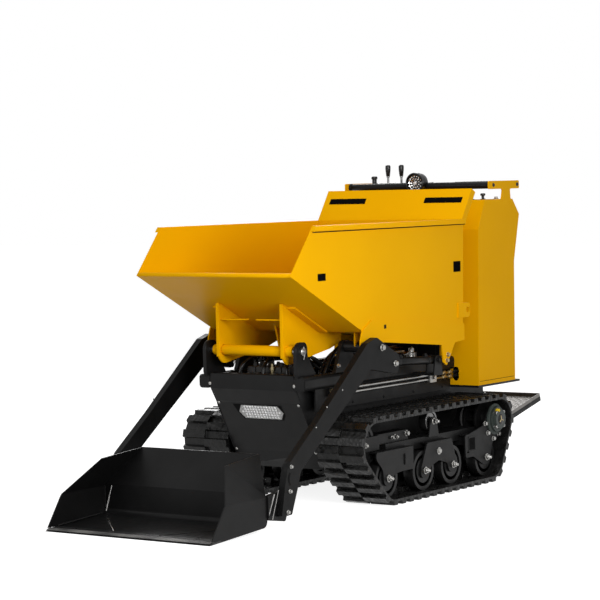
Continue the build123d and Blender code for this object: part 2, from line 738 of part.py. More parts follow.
def front_beam():
    """Beam across the front of the chassis, between the side rails."""
    half = RAIL_Y - RAIL_SIZE / 2
    return block(BEAM_FRONT_X - BEAM_DEPTH, BEAM_FRONT_X, -half, half, BEAM_BOTTOM_Z, BEAM_TOP_Z)


def loader_pivot():
    """Post on the rail with the boss and pin that carry the loader arm."""
    foot = DECK_TOP_Z + RAIL_SIZE
    x, z = ARM_PIVOT
    r = ARM_BOSS_RADIUS + BOSS_EDGE
    post = outline([
        (x - POST_HALF, foot, 0), (x + POST_HALF, foot, 0), (x + r, z + r, r - 1), (x - r, z + r, r - 1),
    ])
    post_y = RAIL_Y + POST_OFFSET
    pivot = slab(post, post_y, post_y + POST_PLATE)
    boss_end = arm_inner_y() - RUNNING_GAP
    pivot += disc(x, z, ARM_BOSS_RADIUS, post_y - BOSS_REACH, boss_end)
    return pivot + disc(x, z, ARM_PIN_RADIUS, boss_end, ARM_OUTER_Y)


def side_rail():
    """Left rail with the hopper's hinge stand and the lift cylinder's anchor."""
    low_y = RAIL_Y - RAIL_SIZE / 2
    rail_top = DECK_TOP_Z + RAIL_SIZE
    rail = block(RAIL_REAR_X, BEAM_FRONT_X, low_y, low_y + RAIL_SIZE, DECK_TOP_Z, rail_top)
    rail = fillet(rail.edges().filter_by(Axis.X), RAIL_SIZE / 4)
    foot = rail_top - RAIL_SIZE / 3
    x, z = HOPPER_PIVOT
    r = STAND_RADIUS
    stand = outline([
        (x - STAND_REAR, foot, 0), (x + STAND_FRONT, foot, 0), (x + r, rail_top + 10, 20),
        (x + r, z + r, r - 1), (x - r, z + r, r - 1), (x - r, z - r / 2, r / 2),
        (x - STAND_REAR, rail_top + 8, 8),
    ])
    rail += slab(stand, STAND_Y, STAND_Y + STAND_PLATE)
    rail -= disc(x, z, HOPPER_PIN_RADIUS, STAND_Y - STAND_PLATE, STAND_Y + 2 * STAND_PLATE)
    x, z = LIFT_BASE
    shelf = DECK_TOP_Z + LIFT_SHELF
    foot, head = LIFT_EAR_FOOT, LIFT_EAR_HEAD
    ear = outline([
        (x - foot, shelf, 0), (x + foot, shelf, 0), (x + head, z + head, head - 1),
        (x - head, z + head, head - 1),
    ])
    inner = LIFT_EYE_HALF + LUG_GAP
    outer = inner + LIFT_EAR_PLATE
    rail += slab(ear, LIFT_Y - outer, LIFT_Y - inner)
    rail += slab(ear, LIFT_Y + inner, LIFT_Y + outer)
    rail += block(x - foot, x + foot, RAIL_Y, LIFT_Y + outer, DECK_TOP_Z, shelf)
    return rail + disc(x, z, CYLINDER_PIN_RADIUS, LIFT_Y - outer, LIFT_Y + outer)


def hopper_pin():
    end = STAND_Y + STAND_PLATE + HOPPER_PIN_END
    return disc(*HOPPER_PIVOT, HOPPER_PIN_RADIUS, -end, end)


# ---------------------------------------------------------------- hopper

def floor_z(x):
    """Underside of the hopper's floor and ramp."""
    if x < FLOOR_FRONT[0]:
        return line_z(FLOOR_REAR, FLOOR_FRONT, x)
    return line_z(FLOOR_FRONT, LIP, x)


def hopper_profile():
    return outline([
        (*LIP, 0), (*RIM_FRONT, 0), (*RIM_REAR, 0), (*FLOOR_REAR, 0), (*FLOOR_FRONT, 0),
    ])


def hopper_space():
    """Outline of the load space: inside the sheets, open at the top and over the lip."""
    beyond = 80
    top = RIM_FRONT[1] + beyond
    grown = outline([
        (LIP[0] + beyond, line_z(FLOOR_FRONT, LIP, LIP[0] + beyond), 0), (LIP[0] + beyond, top, 0),
        (FLOOR_REAR[0] + (RIM_REAR[0] - FLOOR_REAR[0]) * (top - FLOOR_REAR[1])
         / (RIM_REAR[1] - FLOOR_REAR[1]), top, 0),
        (*FLOOR_REAR, 0), (*FLOOR_FRONT, 0),
    ])
    return offset(grown, amount=-HOPPER_WALL, kind=Kind.INTERSECTION)


def hopper_side():
    """Left side sheet with the rolled-out rim."""
    y = HOPPER_HALF_WIDTH
    side = slab(hopper_profile(), y - HOPPER_WALL, y)
    down = RIM_HEM_DEPTH
    slope = (LIP[0] - RIM_FRONT[0]) / (RIM_FRONT[1] - LIP[1])
    hem = outline([
        (*RIM_FRONT, 0), (*RIM_REAR, 0), (RIM_REAR[0], RIM_REAR[1] - down, 0),
        (RIM_FRONT[0] + down * slope, RIM_FRONT[1] - down, 0),
    ])
    return side + slab(hem, y, y + RIM_HEM)


def hopper_floor():
    """Floor and ramp, one bent sheet ending in the rolled lip."""
    y = HOPPER_HALF_WIDTH - HOPPER_WALL
    sheet = hopper_profile() - hopper_space()
    rear = FLOOR_REAR[0] + HOPPER_WALL
    low = FLOOR_REAR[1] - 50
    front = LIP[0] - 3 * HOPPER_WALL
    band = 4 * HOPPER_WALL
    keep = outline([
        (rear, low, 0), (front, low, 0), (front, floor_z(front) + band, 0),
        (FLOOR_FRONT[0], FLOOR_FRONT[1] + band, 0), (rear, FLOOR_REAR[1] + band, 0),
    ])
    return slab(sheet & keep, -y, y) + disc(front, floor_z(front) + LIP_RADIUS, LIP_RADIUS, -y, y)


def hopper_rear():
    """Rear wall carried up as the leaning load guard, its edges returned rearward."""
    y = HOPPER_HALF_WIDTH - HOPPER_WALL
    wall = HOPPER_WALL
    face = outline([
        (*FLOOR_REAR, 0), (*RIM_REAR, 0), (*GUARD_TOP, 0),
        (GUARD_TOP[0] + wall, GUARD_TOP[1] + wall / 2, 0),
        (RIM_REAR[0] + wall, RIM_REAR[1], 0), (FLOOR_REAR[0] + wall, FLOOR_REAR[1], 0),
    ])
    ear = outline([
        (*RIM_REAR, 0), (*GUARD_TOP, 0),
        (GUARD_TOP[0] - GUARD_RETURN, GUARD_TOP[1] - GUARD_RETURN_DROP, 0),
        (RIM_REAR[0] - GUARD_RETURN, RIM_REAR[1] - GUARD_RETURN_DROP, 0),
    ])
    fold = slab(ear, y - wall, y)
    return slab(face, -y, y) + fold + mirrored(fold)


def hopper_skirt():
    """Doubler along the hopper's lower side: hook over the loader pivot, leg and lifting tab."""
    y = HOPPER_HALF_WIDTH
    face = outline([
        (189, 740, 8), (262, 700, 8), (276, 660, 8), (276, 621, 4), (225, 621, 0), (225, 645, 0),
        (108, 645, 0), (-335, 603, 10), (-345, 530, 8), (-371, 515, 8), (-441, 606, 10),
        (-518, 612, 4), (-518, 681, 4),
    ])
    plate = slab(face, y, y + SKIRT_PLATE)
    plate -= disc(*ARM_PIVOT, ARM_BOSS_RADIUS + HOOK_GAP, y - 1, y + SKIRT_PLATE + 1)
    x, z = TAB_HOLE
    half = TAB_HALF_HEIGHT
    tab = outline([
        (x + TAB_FOOT, z - half, 4), (x + TAB_FOOT, z + half, 4), (x - TAB_END, z + half, TAB_ROUND),
        (x - TAB_END, z - half, TAB_ROUND),
    ])
    tab -= Pos(x, z) * Circle(TAB_HOLE_RADIUS)
    return Compound(children=[plate, slab(tab, y, y + SKIRT_PLATE)])


def hopper_bracket():
    """Left hinge plate under the ramp, with its flange along the ramp."""
    x, z = HOPPER_PIVOT
    front = x + BRACKET_FRONT
    rear = BRACKET_REAR_X
    face = outline([
        (rear, 643, 8), (rear, floor_z(rear), 0), (*FLOOR_FRONT, 0), (front, floor_z(front), 0),
        (front, z - 30, 28), (x + 4, z - 54, 30), (x - 24, z - 52, 20), (301, 600, 30), (171, 620, 30),
    ])
    half = BRACKET_PLATE / 2
    plate = slab(face, BRACKET_Y - half, BRACKET_Y + half)
    low = FLOOR_FRONT[0] + HOPPER_WALL
    width, deep = BRACKET_FLANGE
    flange = outline([
        (low, floor_z(low), 0), (x, floor_z(x), 0), (x, floor_z(x) - deep, 0), (low, floor_z(low) - deep, 0),
    ])
    plate += slab(flange, BRACKET_Y, BRACKET_Y + width)
    return plate - disc(x, z, PIVOT_TUBE_RADIUS + PIN_FIT, BRACKET_Y - BRACKET_PLATE,
                        BRACKET_Y + BRACKET_PLATE)


def hopper_pivot_tube():
    tube = disc(*HOPPER_PIVOT, PIVOT_TUBE_RADIUS, -PIVOT_TUBE_HALF, PIVOT_TUBE_HALF)
    return tube - disc(*HOPPER_PIVOT, HOPPER_PIN_RADIUS + PIN_FIT, -STAND_Y, STAND_Y)


def hopper_fork():
    """Two plates under the floor that take the tipping cylinder's rod eye."""
    x, z = TIP_EYE
    rear, front = x - FORK_FOOT, x + FORK_FOOT
    head = FORK_HEAD
    face = outline([
        (rear, floor_z(rear), 0), (*FLOOR_FRONT, 0), (front, floor_z(front), 0),
        (x + head, z - head, head - 1), (x - head, z - head, head - 1),
    ])
    inner = TIP_EYE_HALF + 2 * LUG_GAP
    plate = slab(face, inner, inner + FORK_PLATE)
    return Compound(children=[plate, mirrored(plate)])


# ---------------------------------------------------------------- loader

def arm_inner_y():
    return ARM_OUTER_Y - ARM_PLATE


def loader_arm():
    face = outline([
        (228, 674, 20), (294, 655, 20), (647.5, 384, 0), (852, 239, 60), (874, 160, 0), (898, 52, 6),
        (832, 54, 6), (790, 150, 0), (767, 212, 60), (533.5, 373, 0), (271, 552, 20),
        (105, 522, 14), (79, 523, 14), (59, 567, 14), (68, 594, 14),
    ])
    face -= Pos(*ARM_PIVOT) * Circle(ARM_PIN_RADIUS + PIN_FIT)
    return slab(face, arm_inner_y(), ARM_OUTER_Y)


def bucket_floor_z(x):
    return line_z((EDGE_X, 0), HEEL, x)


def bucket_section(inset, top):
    """Cross section of the bucket: upright sides, leaning in above the bend."""
    half = BUCKET_HALF_WIDTH - inset
    lean = BUCKET_TOP_LEAN / (BUCKET_TOP_Z - BUCKET_BEND_Z)
    top_half = half - lean * (top - BUCKET_BEND_Z)
    face = make_face(Polyline(
        (-half, -50), (half, -50), (half, BUCKET_BEND_Z), (top_half, top),
        (-top_half, top), (-half, BUCKET_BEND_Z), close=True,
    ))
    return extrude(Plane.YZ.offset(HITCH_REAR_X - 50) * face, EDGE_X - HITCH_REAR_X + 200)


def bucket_shell():
    """Bucket of bent plate, open in front and at the top, with the hitch plates on its back."""
    plate_top = bucket_floor_z(EDGE_BACK_X) + EDGE_PLATE
    side = outline([
        (EDGE_BACK_X, bucket_floor_z(EDGE_BACK_X), 0), (*HEEL, HEEL_RADIUS), (*BACK_BEND, 0), (*BACK_TOP, 0),
        (*SIDE_TOP, 0), (*SIDE_BEND, 30), (EDGE_X - 14, plate_top, 0), (EDGE_BACK_X, plate_top, 0),
    ])
    y = BUCKET_HALF_WIDTH
    outer = slab(side, -y, y) & bucket_section(0, BUCKET_TOP_Z + 20)
    high = 400
    beyond = EDGE_X + 150
    room = outline([
        (beyond, bucket_floor_z(beyond), 0), (*HEEL, HEEL_RADIUS), (*BACK_BEND, 0),
        (BACK_BEND[0] + (BACK_TOP[0] - BACK_BEND[0]) * (high - BACK_BEND[1])
         / (BACK_TOP[1] - BACK_BEND[1]), high, 0), (beyond, high, 0),
    ])
    room = offset(room, amount=-BUCKET_WALL, kind=Kind.INTERSECTION)
    shell = outer - (slab(room, -y, y) & bucket_section(BUCKET_WALL, high))
    hitch = outline([
        (HEEL[0], HEEL[1] + HEEL_RADIUS, 0), (BACK_BEND[0], BACK_BEND[1] - 2, 0),
        (HITCH_REAR_X, HITCH_TOP_Z, 12), (HITCH_REAR_X, HITCH_TOP_Z - 40, 12),
        (HITCH_REAR_X + 40, HITCH_LOW_Z, 12),
    ])
    y = arm_inner_y()
    plate = slab(hitch, y - HITCH_PLATE, y)
    return shell + plate + mirrored(plate)


def cutting_edge():
    """Bevelled blade under the front of the bucket floor."""
    back = bucket_floor_z(EDGE_BACK_X)
    bevel = EDGE_X - EDGE_BEVEL
    face = outline([
        (EDGE_X, 0, 0), (EDGE_BACK_X, back, 0), (EDGE_BACK_X, back + EDGE_PLATE, 0),
        (bevel, bucket_floor_z(bevel) + EDGE_PLATE, 0),
    ])
    return slab(face, -BUCKET_HALF_WIDTH, BUCKET_HALF_WIDTH)


# ---------------------------------------------------------------- cylinders

def cylinder_plane(base, eye, y):
    """Plane whose local Z runs from a cylinder's base pin to its rod eye."""
    length = math.dist(base, eye)
    direction = ((eye[0] - base[0]) / length, 0, (eye[1] - base[1]) / length)
    return Plane(origin=(base[0], y, base[1]), x_dir=(0, 1, 0), z_dir=direction)


def bar_along(plane, start, end, radius):
    shape = Cylinder(radius, end - start, align=(Align.CENTER, Align.CENTER, Align.MIN))
    return plane * Pos(0, 0, start) * shape


def cylinder_barrel(base, eye, y, radius, rod_radius, length, eye_radius, eye_half):
    """Barrel with its base eye; the rod runs in the gland at the far end."""
    plane = cylinder_plane(base, eye, y)
    start = eye_radius + NECK_LENGTH
    barrel = bar_along(plane, start, length, radius)
    barrel += bar_along(plane, eye_radius - NECK_START, start, eye_half * NECK_SHARE)
    barrel -= bar_along(plane, start + BARREL_WALL, length - GLAND, radius - BARREL_WALL)
    barrel -= bar_along(plane, ROD_TAIL + PISTON, length + 1, rod_radius + PIN_FIT)
    barrel += disc(*base, eye_radius, y - eye_half, y + eye_half)
    return barrel - disc(*base, CYLINDER_PIN_RADIUS + PIN_FIT, y - 2 * radius, y + 2 * radius)


def cylinder_rod(base, eye, y, radius, bore_radius, eye_radius, eye_half, pin_low, pin_high):
    """Rod with its piston, eye and the eye's pin."""
    plane = cylinder_plane(base, eye, y)
    reach = math.dist(base, eye)
    rod = bar_along(plane, ROD_TAIL, reach - eye_radius + NECK_START, radius)
    rod += bar_along(plane, ROD_TAIL, ROD_TAIL + PISTON, bore_radius - RUNNING_GAP)
    rod += disc(*eye, eye_radius, y - eye_half, y + eye_half)
    return rod + disc(*eye, CYLINDER_PIN_RADIUS, pin_low, pin_high)


def tip_barrel():
    return cylinder_barrel(TIP_BASE, TIP_EYE, 0, TIP_BARREL_RADIUS, TIP_ROD_RADIUS,
                           TIP_BARREL_LENGTH, TIP_EYE_RADIUS, TIP_EYE_HALF)


def tip_rod():
    reach = TIP_EYE_HALF + 3 / 2 * LUG_GAP
    return cylinder_rod(TIP_BASE, TIP_EYE, 0, TIP_ROD_RADIUS, TIP_BARREL_RADIUS - BARREL_WALL,
                        TIP_EYE_RADIUS, TIP_EYE_HALF, -reach, reach)


def lift_barrel():
    return cylinder_barrel(LIFT_BASE, CRANK_PIN, LIFT_Y, LIFT_BARREL_RADIUS, LIFT_ROD_RADIUS,
                           LIFT_BARREL_LENGTH, EYE_RADIUS, LIFT_EYE_HALF)


def lift_rod():
    return cylinder_rod(LIFT_BASE, CRANK_PIN, LIFT_Y, LIFT_ROD_RADIUS,
                        LIFT_BARREL_RADIUS - BARREL_WALL, EYE_RADIUS, LIFT_EYE_HALF,
                        LIFT_Y - LIFT_EYE_HALF, arm_inner_y() - RUNNING_GAP)


# ---------------------------------------------------------------- cabinet

def cabinet_profile():
    return outline([
        (CABINET_FRONT_X, CABINET_BOTTOM_Z, 0), (*CABINET_KNEE, 0),
        (CABINET_TOP_FRONT_X, CABINET_TOP_Z, 0), (CABINET_TOP_REAR_X, CABINET_TOP_Z, 0),
        (*CABINET_BULGE, 0), (*CABINET_WAIST, 0), (CABINET_REAR_X, CABINET_BOTTOM_Z, 0),
    ])


def cabinet_side():
    y = CABINET_HALF_WIDTH
    return slab(cabinet_profile(), y - CABINET_WALL, y)


def cabinet_sheet(x_low, x_high, z_low, z_high):
    """The part of the folded wrap inside a window of the side view."""
    profile = cabinet_profile()
    ring = profile - offset(profile, amount=-CABINET_WALL, kind=Kind.INTERSECTION)
    rear = CABINET_REAR_X + CABINET_WALL
    front = CABINET_FRONT_X - CABINET_WALL
    open_z = CABINET_BOTTOM_Z + 2 * CABINET_WALL
    ring -= outline([
        (rear, CABINET_BOTTOM_Z, 0), (front, CABINET_BOTTOM_Z, 0), (front, open_z, 0), (rear, open_z, 0),
    ])
    window = outline([(x_low, z_low, 0), (x_high, z_low, 0), (x_high, z_high, 0), (x_low, z_high, 0)])
    y = CABINET_HALF_WIDTH - CABINET_WALL
    return slab(ring & window, -y, y)


def cabinet_front():
    """Front sheet with the slot where the pipes go in."""
    sheet = cabinet_sheet(CABINET_TOP_FRONT_X, CABINET_FRONT_X + CABINET_WALL,
                          CABINET_BOTTOM_Z, CABINET_TOP_Z + CABINET_WALL)
    length, width = PIPE_SLOT
    slot = Plane.YZ * SlotOverall(length, width, rotation=90)
    cut = Pos(CABINET_FRONT_X - width, PIPE_HOLE_Y, PIPE_HOLE_Z) * extrude(slot, 2 * width)
    return sheet - cut


def cabinet_top():
    return cabinet_sheet(CABINET_TOP_REAR_X, CABINET_TOP_FRONT_X,
                         CABINET_BULGE[1], CABINET_TOP_Z + CABINET_WALL)


def cabinet_rear():
    low = CABINET_BOTTOM_Z
    upper = cabinet_sheet(CABINET_BULGE[0] - CABINET_WALL, CABINET_TOP_REAR_X, low,
                          CABINET_TOP_Z + CABINET_WALL)
    lower = cabinet_sheet(CABINET_TOP_REAR_X, CABINET_REAR_X + MACHINERY_GAP, low, CABINET_WAIST[1])
    return upper + lower


def cabinet_base():
    half = CABINET_HALF_WIDTH
    return block(BASE_REAR_X, CABINET_FRONT_X, -half, half, CABINET_BASE_Z, CABINET_BOTTOM_Z)


def engine_block():
    low, high = ENGINE_Y
    rear = CABINET_REAR_X + MACHINERY_GAP
    return block(rear, rear + ENGINE_LENGTH, low, high, CABINET_BOTTOM_Z, CABINET_BOTTOM_Z + ENGINE_HEIGHT)


def hydraulic_tank():
    low = ENGINE_Y[1] + MACHINERY_GAP
    rear = CABINET_REAR_X + MACHINERY_GAP
    return block(rear, rear + TANK_LENGTH, low, CABINET_HALF_WIDTH - CABINET_WALL - MACHINERY_GAP,
                 CABINET_BOTTOM_Z, CABINET_BOTTOM_Z + TANK_HEIGHT)


def handle_bracket():
    """T-shaped plate on the cabinet's top edge that holds both grab bars."""
    top = BAR_Z + BRACKET_HALF_HEIGHT
    low = BAR_Z - BRACKET_HALF_HEIGHT
    front = BAR_FRONT_X + HANDLE_FRONT
    rear = BAR_REAR_X - BRACKET_HALF_HEIGHT
    stem_rear, stem_front = HANDLE_STEM
    face = outline([
        (front, top, 6), (rear, top, 6), (rear, low, 6), (stem_rear + 6, low, 8),
        (stem_rear, CABINET_TOP_Z, 0), (stem_front, CABINET_TOP_Z, 0), (stem_front - 11, low, 8),
        (front, low, 6),
    ])
    return slab(face, CABINET_HALF_WIDTH - HANDLE_PLATE, CABINET_HALF_WIDTH)


def grab_bars():
    half = CABINET_HALF_WIDTH - HANDLE_PLATE
    bars = [disc(x, BAR_Z, BAR_RADIUS, -half, half) for x in (BAR_FRONT_X, BAR_REAR_X)]
    return Compound(children=bars)


def work_lamp():
    """Round lamp standing on the front bar."""
    z = BAR_Z + BAR_RADIUS
    front = BAR_FRONT_X + BAR_RADIUS + LAMP_STANDOUT
    body = Plane(origin=(BAR_FRONT_X, 0, z), z_dir=(1, 0, 0))
    shape = body * Cylinder(LAMP_RADIUS, front - BAR_FRONT_X, align=(Align.CENTER, Align.CENTER, Align.MIN))
    return shape - disc(BAR_FRONT_X, BAR_Z, BAR_RADIUS + PIN_FIT, -LAMP_RADIUS, LAMP_RADIUS)


def control_levers():
    levers = []
    stand = (Align.CENTER, Align.CENTER, Align.MIN)
    for y, top, knob in LEVERS:
        foot = Pos(LEVER_X, y, CABINET_TOP_Z)
        stem = foot * Cylinder(LEVER_STEM_RADIUS, top - knob - CABINET_TOP_Z, align=stand)
        boot = foot * Cone(*LEVER_BOOT, align=stand)
        handle = Pos(LEVER_X, y, top - knob) * Cone(*LEVER_KNOB, knob, align=stand)
        levers.append(stem + boot + handle)
    return Compound(children=levers)


def hydraulic_pipes():
    """Two steel pipes along the left side, clamped to the deck's fold."""
    rear = CABINET_FRONT_X - PIPE_END
    pipes = block(*CLAMP_X, DECK_HALF_WIDTH, PIPE_Y + CLAMP_MARGIN,
                  min(PIPE_Z) - CLAMP_MARGIN, max(PIPE_Z) + CLAMP_MARGIN - 1)
    for z in PIPE_Z:
        run = Plane(origin=(rear, PIPE_Y, z), z_dir=(1, 0, 0))
        pipes += run * Cylinder(PIPE_RADIUS, PIPE_FRONT_X - rear,
                                align=(Align.CENTER, Align.CENTER, Align.MIN))
        pipes += disc(PIPE_FRONT_X - PIPE_RADIUS, z, PIPE_RADIUS, DECK_HALF_WIDTH, PIPE_Y)
    return pipes


# ---------------------------------------------------------------- step

def step_bracket():
    """Two plates from the channel's rear end to the step's hinge pins."""
    x, z = STEP_HINGE
    eye = STEP_EYE
    low, high = STEP_PLATE_Z
    face = outline([
        (CHANNEL_REAR_X, high, 0), (x + eye - 6, z + eye + 10, 10), (x - eye, z + eye, eye - 1),
        (x - eye, z - eye, eye - 1), (x + eye, z - eye, eye - 4), (CHANNEL_REAR_X, low, 0),
    ])
    inner, outer = STEP_PLATE_Y
    pin_end = STEP_LUG_Y + STEP_LUG[0] / 2 + LUG_GAP
    plate = slab(face, inner, outer) + disc(x, z, STEP_PIN_RADIUS, inner, pin_end)
    return Compound(children=[plate, mirrored(plate)])


def step_plate():
    """Tread plate with folded edges, hinged at its front."""
    length = math.dist(STEP_HINGE, STEP_REAR)
    plane = cylinder_plane(STEP_HINGE, STEP_REAR, 0)
    tread = length - STEP_START
    middle = STEP_START + tread / 2
    rim, thick = STEP_RIM, STEP_RIM_PLATE
    step = plane * Pos(0, 0, middle) * Box(2 * STEP_HALF_WIDTH, STEP_PLATE, tread)
    edge = STEP_HALF_WIDTH - thick / 2
    for y in (-edge, edge):
        step += plane * Pos(y, -rim / 2, middle) * Box(thick, rim, tread)
    step += plane * Pos(0, -rim / 2, length - thick / 2) * Box(2 * STEP_HALF_WIDTH, rim, thick)
    width, _, reach = STEP_LUG
    for y in (STEP_LUG_Y, -STEP_LUG_Y):
        step += plane * Pos(y, 0, reach / 2 - LUG_GAP) * Box(*STEP_LUG)
        step -= disc(*STEP_HINGE, STEP_PIN_RADIUS + PIN_FIT, y - width, y + width)
    return step


# ---------------------------------------------------------------- write the pieces

PAIRS = {
    "track_belt": track_belt, "track_rollers": track_rollers, "idler": idler,
    "sprocket": sprocket, "drive_motor": drive_motor, "track_frame": track_frame,
    "tensioner": tensioner, "side_rail": side_rail, "loader_pivot": loader_pivot, "hopper_side": hopper_side,
    "hopper_skirt": hopper_skirt, "hopper_bracket": hopper_bracket, "loader_arm": loader_arm,
    "lift_barrel": lift_barrel, "lift_rod": lift_rod, "cabinet_side": cabinet_side,
    "handle_bracket": handle_bracket,
}
SINGLES = {
    "chassis_channel": chassis_channel, "deck_plate": deck_plate, "nose_plate": nose_plate,
    "front_lamp": front_lamp, "front_beam": front_beam, "hopper_pin": hopper_pin,
    "hopper_floor": hopper_floor, "hopper_rear": hopper_rear,
    "hopper_pivot_tube": hopper_pivot_tube, "hopper_fork": hopper_fork,
    "bucket_shell": bucket_shell, "cutting_edge": cutting_edge, "tip_barrel": tip_barrel,
    "tip_rod": tip_rod, "cabinet_front": cabinet_front, "cabinet_top": cabinet_top,
    "cabinet_rear": cabinet_rear, "cabinet_base": cabinet_base, "engine_block": engine_block,
    "hydraulic_tank": hydraulic_tank, "grab_bars": grab_bars, "work_lamp": work_lamp,
    "control_levers": control_levers, "hydraulic_pipes": hydraulic_pipes,
    "step_bracket": step_bracket, "step_plate": step_plate,
}

for node, make in PAIRS.items():
    save_pair(node, make())
for node, make in SINGLES.items():
    save(node, make())
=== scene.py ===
"""Looks of the tracked site dumper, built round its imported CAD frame.

Everything is in the frame of the part: +X forward, +Y the machine's left, +Z up.
Shapes and tables are in millimetres and are turned into metres where meshes are made.
"""

import json
import math

import bmesh
import bpy
from mathutils import Matrix, Vector


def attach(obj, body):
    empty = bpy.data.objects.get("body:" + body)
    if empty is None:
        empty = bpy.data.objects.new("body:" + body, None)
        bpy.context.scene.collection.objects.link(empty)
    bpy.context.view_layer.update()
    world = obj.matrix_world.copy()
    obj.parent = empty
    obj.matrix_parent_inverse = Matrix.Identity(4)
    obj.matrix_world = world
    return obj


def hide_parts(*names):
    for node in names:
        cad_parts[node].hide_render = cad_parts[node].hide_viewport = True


MM = 0.001

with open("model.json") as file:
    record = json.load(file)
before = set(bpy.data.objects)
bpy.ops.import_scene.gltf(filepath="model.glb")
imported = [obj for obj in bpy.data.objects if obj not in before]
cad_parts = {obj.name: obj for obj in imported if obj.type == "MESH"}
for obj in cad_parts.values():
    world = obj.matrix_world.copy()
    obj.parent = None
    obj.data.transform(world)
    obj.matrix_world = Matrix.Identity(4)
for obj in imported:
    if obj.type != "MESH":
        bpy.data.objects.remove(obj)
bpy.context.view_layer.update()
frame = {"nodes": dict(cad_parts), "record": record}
NODES = frame["nodes"]
SCENE = bpy.context.scene


# ---- materials

MATERIALS = {}  # by name, filled by Graph


def put(node, **values):
    """Sets inputs of a node by their names."""
    for name, value in values.items():
        node.inputs[name.replace("_", " ")].default_value = value
    return node


class Graph:
    """A material's node tree with short calls for the nodes used here."""

    def __init__(self, name):
        MATERIALS[name] = bpy.data.materials.new(name)
        MATERIALS[name].use_nodes = True
        self.tree = MATERIALS[name].node_tree
        self.shader = self.tree.nodes["Principled BSDF"]
        self.place = self.add("ShaderNodeTexCoord").outputs["Object"]

    def add(self, kind, **values):
        return put(self.tree.nodes.new(kind), **values)

    def link(self, output, target):
        self.tree.links.new(output, target)

    def noise(self, scale, detail=4.0, stretch=None):
        node = self.add("ShaderNodeTexNoise", Scale=scale, Detail=detail)
        place = self.place
        if stretch:
            mapping = self.add("ShaderNodeMapping", Scale=stretch)
            self.link(place, mapping.inputs["Vector"])
            place = mapping.outputs["Vector"]
        self.link(place, node.inputs["Vector"])
        return node.outputs["Fac"]

    def cells(self, scale):
        node = self.add("ShaderNodeTexVoronoi", Scale=scale)
        self.link(self.place, node.inputs["Vector"])
        return node.outputs["Distance"]

    def colours(self, source, *stops):
        """Base colour from two (position, colour) stops along a pattern."""
        node = self.add("ShaderNodeValToRGB")
        for element, (position, colour) in zip(node.color_ramp.elements, stops):
            element.position = position
            element.color = (*colour, 1)
        self.link(source, node.inputs["Fac"])
        self.link(node.outputs["Color"], self.shader.inputs["Base Color"])

    def rough(self, source, low, high):
        """Roughness between two values over the middle of a pattern."""
        node = self.add("ShaderNodeMapRange", From_Min=0.3, From_Max=0.7, To_Min=low, To_Max=high)
        self.link(source, node.inputs["Value"])
        self.link(node.outputs["Result"], self.shader.inputs["Roughness"])

    def bumps(self, *layers):
        """layers are (height output, strength, distance in metres)."""
        normal = None
        for height, strength, distance in layers:
            node = self.add("ShaderNodeBump", Strength=strength, Distance=distance)
            self.link(height, node.inputs["Height"])
            if normal:
                self.link(normal, node.inputs["Normal"])
            normal = node.outputs["Normal"]
        self.link(normal, self.shader.inputs["Normal"])


def yellow_paint():
    g = Graph("yellow_paint")
    g.colours(g.noise(2.2), (0.3, (0.785, 0.388, 0.0006)), (0.7, (0.825, 0.412, 0.0009)))
    g.rough(g.noise(14), 0.3, 0.4)
    g.bumps((g.noise(420, 2), 0.05, 0.0004), (g.noise(5, 2), 0.1, 0.004))
    put(g.shader, Specular_IOR_Level=0.03, Specular_Tint=(1.0, 0.68, 0.02, 1))


def black_paint(name, grey, rough, grain, gloss):
    """Dark enamel; grain is the scale of its orange peel."""
    g = Graph(name)
    g.colours(g.noise(9), (0.3, (grey * 0.8,) * 3), (0.7, (grey * 1.2, grey * 1.2, grey * 1.22)))
    g.rough(g.noise(22), rough, rough + 0.12)
    g.bumps((g.noise(grain, 3), 0.14, 0.0004))
    put(g.shader, Specular_IOR_Level=gloss)


def rubber():
    g = Graph("rubber_belt")
    g.colours(g.noise(26, 6), (0.35, (0.0036, 0.0036, 0.0035)), (0.7, (0.009, 0.0088, 0.0085)))
    g.rough(g.noise(34), 0.16, 0.52)
    g.bumps((g.noise(190, 5), 0.34, 0.0009), (g.cells(55), 0.45, 0.0035))
    put(g.shader, Specular_IOR_Level=0.22)


def edge_wear_and_highlight():
    """Black paint rubbed down to bright steel in streaks, with a painted highlight along the lip."""
    g = Graph("edge_wear_and_highlight")
    g.colours(g.noise(7, 6, (1, 1, 3)), (0.42, (0.012, 0.012, 0.012)), (0.62, (0.11, 0.107, 0.1)))
    g.rough(g.noise(60), 0.3, 0.5)
    g.bumps((g.noise(300, 4), 0.2, 0.0004))
    put(g.shader, Specular_IOR_Level=0.4)


def plain_metal(name, colour, rough, scale=60, stretch=None, bump=0.06):
    g = Graph(name)
    g.colours(g.noise(scale * 0.5), (0.3, tuple(c * 0.8 for c in colour)), (0.7, colour))
    g.rough(g.noise(scale, 3, stretch), rough, rough + 0.14)
    g.bumps((g.noise(scale * 4, 3, stretch), bump, 0.0003))
    put(g.shader, Metallic=1.0)


def cast_paint(name, colour):
    g = Graph(name)
    g.colours(g.noise(30), (0.3, tuple(c * 0.75 for c in colour)), (0.7, colour))
    g.rough(g.noise(50), 0.38, 0.55)
    g.bumps((g.noise(160, 4), 0.3, 0.0006))
    put(g.shader, Specular_IOR_Level=0.3)


def plastic(name, grey, rough, gloss):
    g = Graph(name)
    g.colours(g.noise(40), (0.3, (grey * 0.85,) * 3), (0.7, (grey * 1.15,) * 3))
    g.rough(g.noise(60), rough, rough + 0.08)
    g.bumps((g.noise(700, 2), 0.06, 0.0003))
    put(g.shader, Specular_IOR_Level=gloss)


